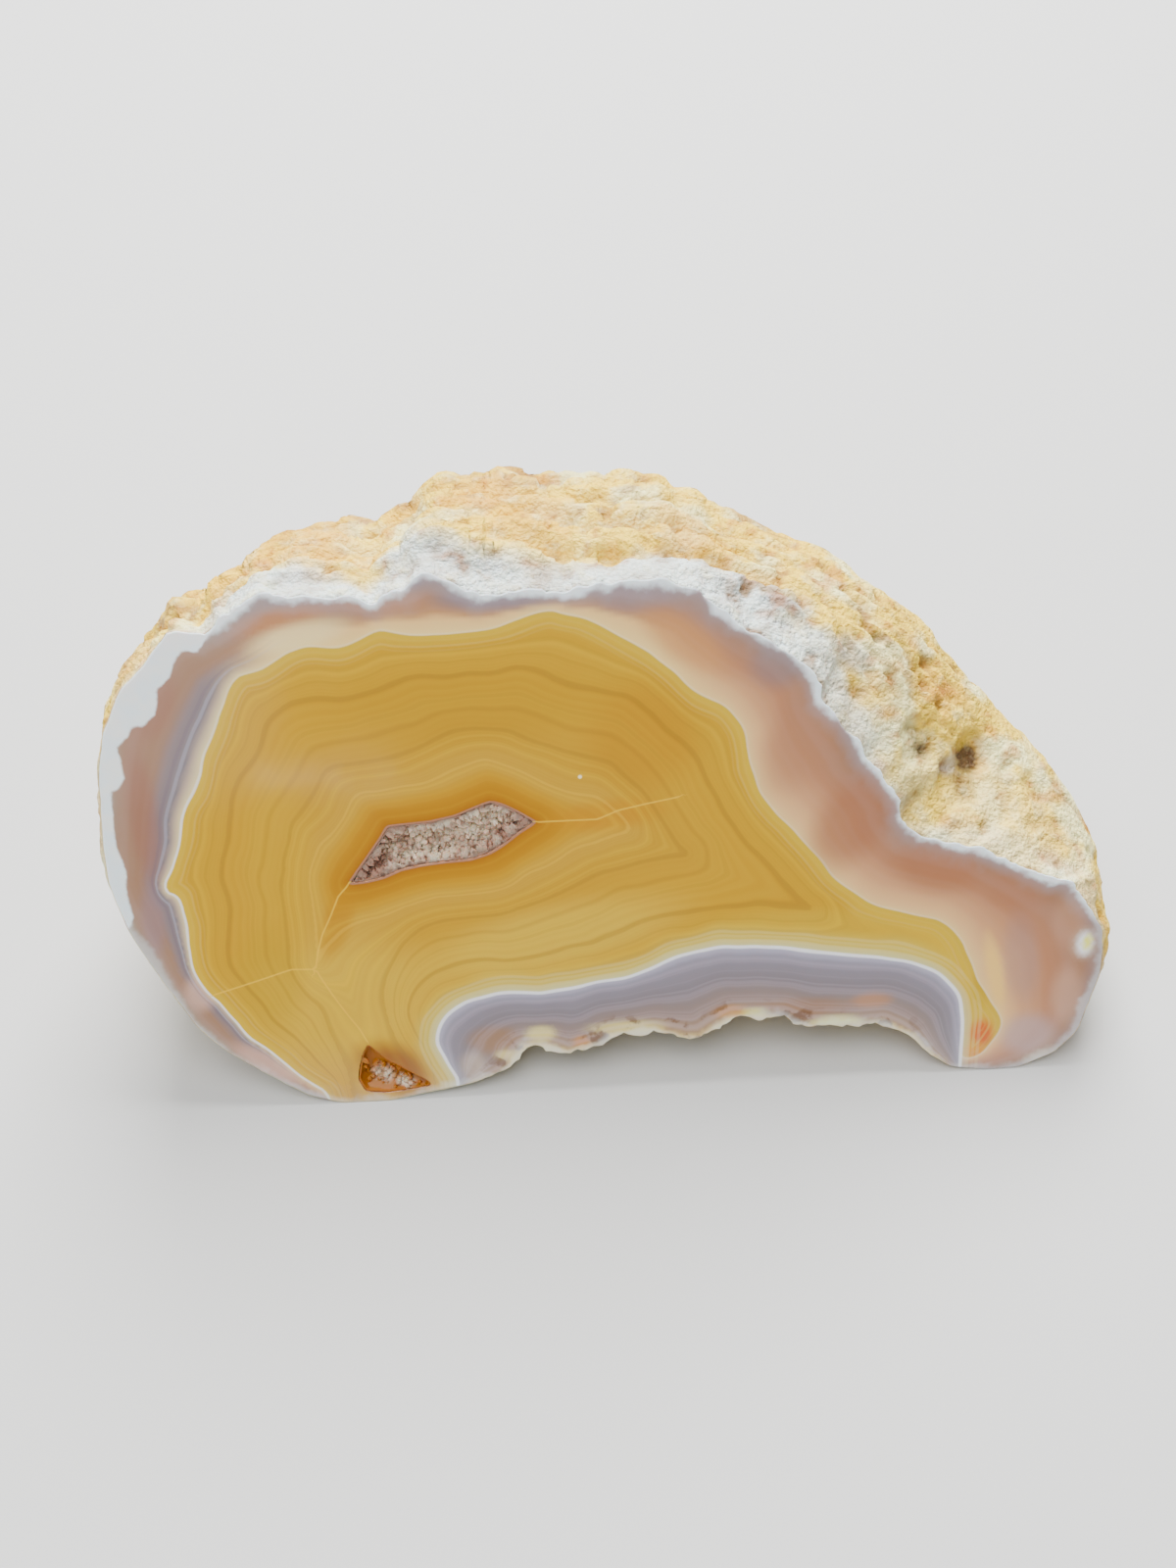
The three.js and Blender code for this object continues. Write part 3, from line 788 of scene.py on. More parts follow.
    def bay_edge(self, s: Shader, base: Socket) -> Socket:
        """Strew brown specks along the bay, and give it a ragged cream rim.

        Args:
            s: The material being built.
            base: The colour under them.

        Returns:
            The colour.
        """
        depth = s.calc("ADD", s.field("edge_mm"), s.product(s.grain(420, 4), -1.6))
        bay = s.field("bay_on")
        specks = s.product(s.grade(s.grain(560, 4), 0.52, 0.62), s.fade(depth, 0.2, 1.4), bay)
        base = s.paint(base, specks, self.specks)
        return s.paint(base, s.product(s.fade(depth, -0.8, -0.45), bay), self.bay_rim)

    def white_edge(self, s: Shader, base: Socket) -> Socket:
        """Lay the lacy white fringe along the top, and the white skin on the left.

        Args:
            s: The material being built.
            base: The colour under them.

        Returns:
            The colour.
        """
        wisps = s.calc("ADD", s.product(s.grain(240, 3), -2.4), s.product(s.grain(1100, 4), -0.8))
        ragged = s.calc("ADD", s.field("edge_mm"), wisps)
        fringe = s.field("fringe")
        base = s.paint(base, s.product(s.fade(ragged, -1.2, 0.6), fringe), self.glow)
        base = s.mix(s.product(s.fade(ragged, -1.5, -0.75), fringe), base, linear(self.skin))
        inside = s.calc("ADD", s.field("skin_mm"), s.product(s.grain(1300, 3), 0.3))
        skin = s.mix(s.grade(s.grain(500, 5), 0.35, 0.7), linear(self.skin), linear(self.bright_skin))
        return s.mix(s.grade(inside, 0.05, 0.3), base, skin)


@dataclass(frozen=True)
class CrustFinish:
    """The rough chalky crust of the nodule."""

    chalk: Tint = Tint((246, 238, 180), 0.38)
    # A brown stain, laid in patches at random by noise
    crust_brown: Tint = Tint((170, 112, 22), 0.3)
    grit: tuple[float, float, float] = (0.85, 0.82, 0.75)
    roughness: float = 0.62
    unevenness: float = 0.3

    def build(self) -> bpy.types.Material:
        """Make the material from the colours stored on the crust, with finer grain.

        Returns:
            The material.
        """
        s = Shader("agate_crust")
        grit, patch = s.grain(2600, 5), s.grain(620, 6)
        base = s.paint(s.colour("crust_colour"), s.grade(patch, 0.5, 0.72), self.chalk)
        base = s.paint(base, s.grade(s.grain(1500, 4), 0.56, 0.74), self.crust_brown)
        base = s.mix(s.grade(grit, 0.3, 0.75), base, self.grit, "MULTIPLY")
        height = s.calc("ADD", grit, s.product(patch, 1.6))
        rough = s.calc("ADD", self.roughness, s.product(grit, self.unevenness))
        return s.finish(Base_Color=base, Roughness=rough, Normal=s.bump(height, 0.85, 0.00055),
                        Subsurface_Weight=0.06, Subsurface_Scale=0.0008)


@dataclass(frozen=True)
class HollowFinish:
    """The brown wall of a hollow behind its crystals."""

    wall: Colour = (122, 70, 35)
    pale: Colour = (198, 140, 94)
    roughness: float = 0.35

    def build(self) -> bpy.types.Material:
        """Make the material from two browns.

        Returns:
            The material.
        """
        s = Shader("hollow_wall")
        base = s.mix(s.grade(s.grain(1800, 4), 0.35, 0.7), linear(self.wall), linear(self.pale))
        normal = s.bump(s.grain(2500, 3), 0.5, 0.0003)
        return s.finish(Base_Color=base, Roughness=self.roughness, Normal=normal)


@dataclass(frozen=True)
class GroundFinish:
    """The small flat that the stone stands on, ground fine but not polished."""

    layers: Layers = (
        (0.0, (246, 246, 246)), (0.16, (246, 246, 246)), (0.24, (141, 121, 125)),
        (0.46, (166, 131, 113)), (0.52, (241, 221, 165)), (0.56, (192, 155, 0)), (1.0, (178, 137, 0)))
    layers_depth: float = 14.0
    fine_layers: tuple[float, float, float] = (0.86, 0.83, 0.80)
    roughness: float = 0.42

    def build(self) -> bpy.types.Material:
        """Make the material from the distance to the edge of the flat.

        Returns:
            The material.
        """
        s = Shader("ground_agate")
        inward = s.calc("ADD", s.field("ground_mm"), s.product(s.grain(210, 3), 3.0))
        layers = s.ramp(s.calc("DIVIDE", inward, self.layers_depth), self.layers)
        fine = s.grade(s.growth_lines(inward, 2.4, 3), 0.4, 0.65)
        return s.finish(Base_Color=s.mix(fine, layers, self.fine_layers, "MULTIPLY"),
                        Roughness=self.roughness, IOR=1.54,
                        Normal=s.bump(s.grain(5200, 2), 0.15, 0.0001))


@dataclass(frozen=True)
class QuartzFinish:
    """Small sugary quartz crystals, white where they are frosted and brown elsewhere."""

    name: str
    brown_from: float
    brown: Colour
    white: Colour = (230, 202, 174)
    speckle: float = 0.6
    roughness: float = 0.2
    brown_roughness: float = 0.35

    def build(self) -> bpy.types.Material:
        """Make the material from the frost stored on the crystals.

        Returns:
            The material.
        """
        s = Shader(self.name)
        speckle = s.grade(s.grain(900, 5), self.brown_from, self.brown_from + 0.16)
        bare = s.calc("SUBTRACT", 1.0, s.field("frost"))
        share = s.calc("ADD", s.product(speckle, self.speckle), bare, clamp=True)
        rough = s.calc("ADD", self.roughness, s.product(share, self.brown_roughness))
        return s.finish(Base_Color=s.mix(share, linear(self.white), linear(self.brown)),
                        Roughness=rough, IOR=1.5, Transmission_Weight=0.05,
                        Subsurface_Weight=0.3, Subsurface_Scale=0.0008,
                        Normal=s.bump(s.grain(6000, 2), 0.12, 0.0001))


@dataclass(frozen=True)
class Patch:
    """A soft oval on the stone, in face coordinates, with a colour of its own."""

    at: tuple[float, float]
    size: tuple[float, float]
    colour: Colour = (255, 255, 255)
    strength: float = 1.0
    turn: float = 0.0

    def share(self, uv: np.ndarray) -> np.ndarray:
        """Tell how far the patch covers points.

        Args:
            uv: Rows of u and v.

        Returns:
            Numbers from 0 to 1.
        """
        angle = math.radians(self.turn)
        away = uv - self.at
        x = (away[:, 0] * math.cos(angle) + away[:, 1] * math.sin(angle)) / self.size[0]
        y = (away[:, 1] * math.cos(angle) - away[:, 0] * math.sin(angle)) / self.size[1]
        return self.strength * (1 - smooth_step(0.45, 1.25, np.hypot(x, y)))

    def paint(self, base: np.ndarray, uv: np.ndarray) -> np.ndarray:
        """Blend the patch into linear colours at rows of u and v."""
        return tinted(base, self.colour, self.share(uv))


def layer_colours(share: np.ndarray, stops: Layers) -> np.ndarray:
    """Colour numbers from 0 to 1.

    Args:
        share: The numbers.
        stops: Places from 0 to 1, each with its screen colour.

    Returns:
        Rows of linear colours.
    """
    places = [at for at, _ in stops]
    colours = np.array([linear(colour) for _, colour in stops])
    return np.stack([np.interp(share, places, colours[:, c]) for c in range(3)], axis=-1)


@dataclass(frozen=True)
class BandPattern:
    """The growth bands of the polished face, as fields on its points."""

    left_layers: Layers = (
        (0.0, (166, 153, 134)), (0.22, (159, 124, 99)), (0.55, (154, 117, 91)), (0.66, (135, 117, 117)),
        (0.84, (125, 115, 119)), (0.9, (183, 159, 141)), (1.0, (241, 223, 159)))
    top_layers: Layers = (
        (0.0, (145, 129, 133)), (0.35, (158, 122, 102)), (0.6, (188, 138, 92)), (0.7, (238, 192, 122)),
        (1.0, (244, 212, 136)))
    right_layers: Layers = (
        (0.0, (142, 118, 112)), (0.18, (158, 114, 86)), (0.45, (180, 124, 90)), (0.72, (208, 154, 108)),
        (0.9, (230, 182, 124)), (1.0, (234, 200, 134)))
    lower_layers: Layers = (
        (0.0, (176, 174, 192)), (0.1, (138, 132, 144)), (0.45, (128, 118, 122)), (0.75, (148, 125, 113)),
        (0.92, (166, 133, 96)), (1.0, (246, 218, 119)))
    gold_layers: Layers = (
        (0.0, (208, 174, 44)), (0.08, (201, 155, 14)), (0.3, (201, 152, 14)), (0.6, (196, 149, 26)),
        (0.72, (199, 154, 38)), (0.8, (199, 153, 34)), (0.84, (197, 146, 8)), (0.88, (187, 131, 0)),
        (0.96, (176, 117, 0)), (1.0, (158, 96, 0)))
    outer_patches: tuple[Patch, ...] = (
        Patch((-37.4, 27), (1.3, 6.5), (151, 101, 83), 0.6),
        Patch((-35.5, 36), (1.6, 3.4), (154, 103, 85), 0.5, -30),
        Patch((-25, 42.6), (4.6, 1.1), (190, 124, 72), 0.6, 12),
        Patch((-17.5, 43.7), (4, 1.1), (192, 126, 72), 0.6),
        Patch((-24, 41.2), (4.2, 1.2), (246, 220, 157), 0.8, 12),
        Patch((-9, 43.6), (5, 1.1), (130, 113, 120), 0.8),
        Patch((1.5, 43.2), (3.4, 1.4), (142, 121, 125), 0.6),
        Patch((5.5, 39.5), (4.5, 1.8), (204, 142, 86), 0.7, -38),
        Patch((12.5, 37.5), (2.4, 2.2), (133, 113, 114), 0.6),
        Patch((14.5, 31), (2.8, 5), (174, 120, 86), 0.6, -25),
        Patch((19, 24), (3.2, 5.5), (164, 106, 73), 0.7, -35),
        Patch((26, 19.4), (4.5, 2.4), (164, 105, 70), 0.7, -15),
        Patch((32.5, 17), (3, 2), (168, 110, 76), 0.6, -20),
        Patch((33.5, 10.5), (1.7, 4.6), (152, 129, 130), 0.35, 8),
        Patch((31.3, 9.5), (0.8, 4), (246, 201, 108), 0.8, 12),
        Patch((37.3, 14), (1.6, 2.6), (188, 140, 110), 0.6),
        Patch((37.6, 7), (1.6, 3), (200, 156, 128), 0.6),
        Patch((34.5, 3.4), (2.6, 2.2), (179, 152, 148), 0.7),
        Patch((35.8, 1.2), (1.8, 0.6), (246, 246, 225), 0.4, 20),
        Patch((38.7, 11.8), (1.3, 1.7), (213, 190, 164), 0.35),
        Patch((38.8, 11.8), (0.8, 1.25), (246, 246, 246), 1.0),
        Patch((39.0, 11.9), (0.42, 0.8), (246, 240, 60), 0.9),
        Patch((-34.8, 11.2), (1.4, 1.8), (223, 180, 160), 0.6),
        Patch((-30, 4.2), (3.6, 1), (223, 175, 156), 0.6, -38),
        Patch((-37.8, 18), (1, 3.4), (148, 120, 125), 0.6),
    )
    lower_patches: tuple[Patch, ...] = (
        Patch((-11, 5.4), (2.4, 1.5), (154, 115, 79), 0.7),
        Patch((-7, 5.8), (1.4, 0.8), (246, 229, 131), 0.7),
        Patch((-10, 3.9), (1, 0.6), (246, 228, 141), 0.6),
        Patch((0.2, 6), (3.4, 0.7), (246, 229, 131), 0.6),
        Patch((-3.6, 4.8), (0.8, 0.7), (212, 133, 0), 0.6),
        Patch((9, 7), (1.6, 0.7), (217, 145, 36), 0.5),
        Patch((15, 7), (5, 1), (154, 112, 77), 0.6),
        Patch((21, 7.4), (1.9, 0.8), (219, 145, 67), 0.35),
        Patch((11, 6.8), (1.2, 0.5), (246, 242, 122), 0.6),
        Patch((18, 5.6), (2.4, 0.5), (246, 246, 147), 0.7),
        Patch((-12.8, 3), (1.2, 1.6), (197, 176, 157), 0.6),
    )
    gold_patches: tuple[Patch, ...] = (
        Patch((-23, 9.5), (9, 7), (216, 176, 44), 0.8),
        Patch((-6, 14.6), (12, 3.2), (216, 178, 48), 0.85, 12),
        Patch((14, 14.4), (9, 2), (208, 170, 30), 0.7),
        Patch((2, 32), (5, 5), (188, 130, 0), 0.55),
        Patch((-12, 35), (12, 3.4), (186, 138, 4), 0.5),
        Patch((-27, 22), (3, 9), (206, 161, 8), 0.6),
        Patch((-29, 12), (3, 5), (188, 148, 0), 0.5),
        Patch((-1, 25.4), (5, 1.5), (196, 134, 0), 0.7, 4),
        Patch((-23.1, 17), (1.3, 3.6), (188, 130, 0), 0.7, -21),
        Patch((-19.6, 3.2), (3.7, 2.4), (142, 78, 0), 0.95, -32),
        Patch((30.5, 3.7), (1.1, 1.5), (206, 52, 0), 1.0),
        Patch((30, 2.0), (1.1, 0.9), (220, 136, 0), 0.9),
        Patch((30.2, 8), (0.9, 2.4), (190, 156, 10), 0.6),
    )
    polish_depth: float = 0.4
    crinkle: float = 0.16
    crinkle_cell: float = 1.9

    def store(self, mesh: bpy.types.Mesh, uvw: np.ndarray) -> None:
        """Work out every field and colour on the points of the polish and store it on the mesh.

        Args:
            mesh: The stone's mesh.
            uvw: Its points in face coordinates.
        """
        near = uvw[:, 2] < self.polish_depth
        uv = uvw[near, :2]
        u, v = uv.T
        wave = np.stack([flat_noise(u, v, self.crinkle_cell, level) for level in (4.0, 9.0)], 1)
        crinkled = uv + self.crinkle * wave
        edge = signed_distance(uv, FACE_EDGE)
        rings = [signed_distance(crinkled, soften(ring))
                 for ring in (GOLD_OUTER + WHITE_LINE, MUSTARD_LINE, INNER_LINE, HALO_LINE)]
        band = self.band_number(edge, rings + [signed_distance(uv, VUG_RIM)])
        low = signed_distance(crinkled, soften(WHITE_LINE + [(29, -3)]))
        low_band = low / (np.abs(low) + np.clip(edge, 0.01, None))
        crack = self.crack_distance(uv)
        fields = {
            "band": band, "gold_mm": rings[0], "low_mm": low, "low_band": low_band, "edge_mm": edge,
            "skin_mm": signed_distance(crinkled, WHITE_SKIN),
            "crack_mm": crack,
            "crack_on": 1 - smooth_step(0.45, 0.6, np.abs(crack)),
            "left_on": smooth_step(-24, -32, u),
            "haze_on": smooth_step(29, 25, u),
            "gold_line": 0.12 + 0.6 * smooth_step(-20, -27, u) * smooth_step(38, 24, v),
            "bay_on": smooth_step(-14, -10, u) * smooth_step(27, 22, u) * smooth_step(10, 8, v),
            "fringe": np.maximum(smooth_step(12, 16, v) * smooth_step(-34, -31, u), 0.3),
        }
        for name, values in fields.items():
            full = np.zeros(len(uvw))
            full[near] = values
            store_field(mesh, name, full)
        low_share, gold_share = np.clip(low_band, 0, 1), np.clip(band / len(rings), 0, 1)
        colours = {
            "outer_colour": self.outer_colours(uv, band),
            "low_colour": self.patched(layer_colours(low_share, self.lower_layers), uv, self.lower_patches),
            "gold_colour": self.patched(layer_colours(gold_share, self.gold_layers), uv, self.gold_patches),
        }
        for name, values in colours.items():
            full = np.full((len(uvw), 3), 0.5)
            full[near] = values
            store_colour(mesh, name, full)

    def crack_distance(self, uv: np.ndarray) -> np.ndarray:
        """Measure the distance to the nearest crack, below zero on one side of it.

        Args:
            uv: Rows of u and v.

        Returns:
            Distances in millimetres, 9 at most.
        """
        distance = np.full(len(uv), 9.0)
        for crack in CRACKS:
            away = line_distance(uv, crack)
            distance = np.where(away < np.abs(distance), away * line_side(uv, crack), distance)
        return distance

    def band_number(self, edge: np.ndarray, rings: list[np.ndarray]) -> np.ndarray:
        """Number the bands: -1 at the stone's edge, 0 at the first ring, 1 at the next and so on.

        Args:
            edge: Distances inside the stone's edge.
            rings: Distances inside each ring, the outermost first.

        Returns:
            The numbers, with fractions between the rings.
        """
        outside = np.clip(edge, 0.01, None)
        band = outside / (outside + np.abs(rings[0])) - 1
        for number, (outer, inner) in enumerate(zip(rings[:-1], rings[1:])):
            share = outer / (np.abs(outer) + np.abs(inner))
            band = np.where(outer > 0, number + np.where(inner > 0, 1, share), band)
        return band

    def outer_colours(self, uv: np.ndarray, band: np.ndarray) -> np.ndarray:
        """Colour the zone between the stone's edge and the golden bands.

        Args:
            uv: Rows of u and v.
            band: The number of the band at each of them.

        Returns:
            Rows of linear colours.
        """
        share = np.clip(band + 1, 0, 1)
        colours = layer_colours(share, self.top_layers)
        left, right = smooth_step(-24, -32, uv[:, 0]), smooth_step(0, 12, uv[:, 0])
        colours = blend(colours, layer_colours(share, self.left_layers), left)
        colours = blend(colours, layer_colours(share, self.right_layers), right)
        return self.patched(colours, uv, self.outer_patches)

    def patched(self, colours: np.ndarray, uv: np.ndarray, patches: tuple[Patch, ...]) -> np.ndarray:
        """Paint patches over colours in order.

        Args:
            colours: Rows of linear colours.
            uv: Rows of u and v.
            patches: The patches.

        Returns:
            Rows of linear colours.
        """
        for patch in patches:
            colours = patch.paint(colours, uv)
        return colours


@dataclass(frozen=True)
class Grain:
    """Solid noise with features of one size, in millimetres."""

    cell: float
    size: float = 1.0
    shift: tuple[float, float, float] = (0, 0, 0)

    def at(self, uvw: np.ndarray) -> np.ndarray:
        """Give the noise at points, from minus the size to the size."""
        return self.size * noise(*np.moveaxis(uvw / self.cell + self.shift, -1, 0))


@dataclass(frozen=True)
class Relief:
    """The crust's shape: lumps, knobs, ledges along the top, grain and pits."""

    lumps: Grain = Grain(11, 1.5, (7, 0, 0))
    knobs: Grain = Grain(4.6, 0.7, (0, 5, 0))
    warts: Grain = Grain(1.9, 0.24)
    grains: Grain = Grain(0.7, 0.13)
    holes: Grain = Grain(1.5, 1.0, (3, 0, 8))
    hole_depth: float = 0.45
    ledge_spacing: float = 3.4
    ledge_height: float = 1.1
    layer_spacing: float = 1.15
    layer_height: float = 0.3
    pits: tuple[tuple[tuple[float, float, float], float, float], ...] = (
        ((28.9, 25.8, 7.4), 0.85, 1.0), ((23.1, 27.9, 5.6), 0.8, 0.7), ((27.7, 23.8, 6.4), 1.2, 0.45),
        ((21.3, 37.2, 5.8), 0.6, 0.4), ((34.6, 22.4, 7.6), 0.5, 0.3), ((-1.5, 48.3, 9.5), 0.6, 0.4),
    )

    def height(self, uvw: np.ndarray) -> np.ndarray:
        """Give how far points of the crust stand out.

        Args:
            uvw: Points in face coordinates.

        Returns:
            Heights in millimetres.
        """
        u, v, w = np.moveaxis(uvw, -1, 0)
        broad = (self.lumps.at(uvw) + self.knobs.at(uvw)) * (0.35 + 0.65 * smooth_step(22, 10, u))
        layer = w / self.ledge_spacing + 0.9 * flat_noise(u, v, 8, 2.0)
        tread = smooth_step(0.15, 0.6, layer - np.floor(layer)) - 0.5
        gentle = 0.15 + 0.85 * smooth_step(20, 8, u)
        broad = broad + self.ledge_height * gentle * tread * smooth_step(22, 36, v)
        return broad * smooth_step(0.4, 4.5, w) + self.fine(uvw) * smooth_step(0.1, 1.6, w)

    def fine(self, uvw: np.ndarray) -> np.ndarray:
        """Give the small relief: warts, thin layers, grains and small holes.

        Args:
            uvw: Points in face coordinates.

        Returns:
            Heights in millimetres.
        """
        u, v, w = np.moveaxis(uvw, -1, 0)
        layer = w / self.layer_spacing + 1.1 * noise(u / 4.5, v / 4.5, w / 6) + 0.1 * u
        tread = smooth_step(0.1, 0.75, layer - np.floor(layer)) - 0.5
        layers = self.layer_height * tread * smooth_step(24, 34, v) * smooth_step(1.5, 4, w)
        holes = self.hole_depth * smooth_step(0.5, 0.8, self.holes.at(uvw))
        return self.warts.at(uvw) + layers + self.grains.at(uvw) - holes

    def pit_depth(self, uvw: np.ndarray) -> np.ndarray:
        """Give how deep points lie in the named pits.

        Args:
            uvw: Points in face coordinates.

        Returns:
            Numbers from 0 to 1.
        """
        depth = np.zeros(uvw.shape[:-1])
        for at, radius, share in self.pits:
            away = np.linalg.norm(uvw - np.array(at), axis=-1)
            inside = 1 - smooth_step(0.35, 1.0, (away - away.min()) / radius)
            depth = np.maximum(depth, share * inside)
        return depth


@dataclass
class Hollow:
    """One open hollow of the polished face: its wall in the stone, and its crystal crust."""

    name: str
    rim: Points
    spine: Points
    depth: float
    count: int
    crystal_size: float
    seed: int
    density: float
    frost: tuple[Patch, ...]
    bed_depth: float = 1.3
    bare_growth: float = 1.0
    brown_from: float = 0.46
    brown: Colour = (158, 118, 98)
    rings: int = 12
    rim_easing: float = 0.8
    least_share: float = 0.15
    floor_angle: float = math.radians(88.2)
    stone_below: float = 0.35
    clearance: float = 0.06
    thickness: float = 0.14
    under_face: float = 0.12
    above_table: float = 0.0001

    def wall(self, margin: float = 0) -> np.ndarray:
        """Give the rings of the hollow's wall, the rim first.

        Args:
            margin: How far the wall shrinks all round, in millimetres.

        Returns:
            Rings of points in face coordinates.
        """
        rim = resample(self.rim, self.count, self.rim_easing)
        near, _ = nearest_on_spine(self.spine, rim)
        radius = np.linalg.norm(rim - near, axis=1)
        at = near + (rim - near) * np.maximum(self.least_share, 1 - margin / radius)[:, None]
        rings = []
        for ring in range(self.rings + 1):
            angle = self.floor_angle * ring / self.rings
            flat = near + (at - near) * math.sqrt(math.cos(angle))
            rings.append(np.column_stack([flat, np.full(len(flat), (self.depth - margin) * math.sin(angle))]))
        rings = np.array(rings)
        across, up = math.cos(FACE.lean), math.sin(FACE.lean)
        lowest = (self.stone_below + margin + rings[..., 2] * across) / up
        rings[..., 1] = np.maximum(rings[..., 1], lowest)
        return rings

    def build(self) -> bpy.types.Object:
        """Make the crystal crust: a thin lining, and crystals grown on it.

        Returns:
            The crust, as one plain mesh.
        """
        crust = bpy.data.objects.new(self.name, self.lining_mesh())
        bpy.context.scene.collection.objects.link(crust)
        quartz = QuartzFinish(f"{self.name}_quartz", self.brown_from, self.brown).build()
        DruseTree(self.crystal_size, self.density, self.seed).grow(crust, quartz)
        uvw = FACE.read(read_points(crust.data))
        uvw[:, 2] = np.maximum(uvw[:, 2], self.under_face)
        placed = FACE.place(uvw)
        placed[:, 2] = np.maximum(placed[:, 2], self.above_table)
        crust.data.vertices.foreach_set("co", placed.ravel())
        self.dress(crust.data, uvw)
        return crust

    def dress(self, mesh: bpy.types.Mesh, uvw: np.ndarray) -> None:
        """Store on the crust where its crystals are white."""
        store_field(mesh, "frost", self.frosted(uvw[:, :2]))
        mesh.update()

    def frosted(self, uv: np.ndarray) -> np.ndarray:
        """Tell where the crystals are white, from 0 to 1: in the named ovals, and off the rim."""
        ovals = np.max([oval.share(uv) for oval in self.frost], axis=0)
        return ovals * smooth_step(0, 0.4, signed_distance(uv, self.rim))

    def lining_mesh(self) -> bpy.types.Mesh:
        """Make the closed lining that carries the crystals.

        Returns:
            The mesh, with where the crystals grow stored on it.
        """
        outside, inside = self.wall(self.clearance), self.wall(self.clearance + self.thickness)
        inside[..., 2] *= self.bed_depth / inside[..., 2].max()
        rings = np.concatenate([outside[::-1], inside])
        rings[..., 2] = np.maximum(rings[..., 2], self.under_face)
        last = (len(rings) - 1) * self.count
        faces = ring_faces(len(rings), self.count)
        faces += [tuple(reversed(range(self.count))), tuple(range(last, last + self.count))]
        mesh = bpy.data.meshes.new(f"{self.name}_lining")
        mesh.from_pydata(FACE.place(rings.reshape(-1, 3)).tolist(), [], faces)
        shape = bmesh.new()
        shape.from_mesh(mesh)
        bmesh.ops.recalc_face_normals(shape, faces=shape.faces)
        shape.to_mesh(mesh)
        shape.free()
        growing = np.maximum(self.frosted(rings.reshape(-1, 3)[:, :2]), self.bare_growth)
        growing[:len(growing) // 2] = 0
        store_field(mesh, "growing", growing)
        return mesh


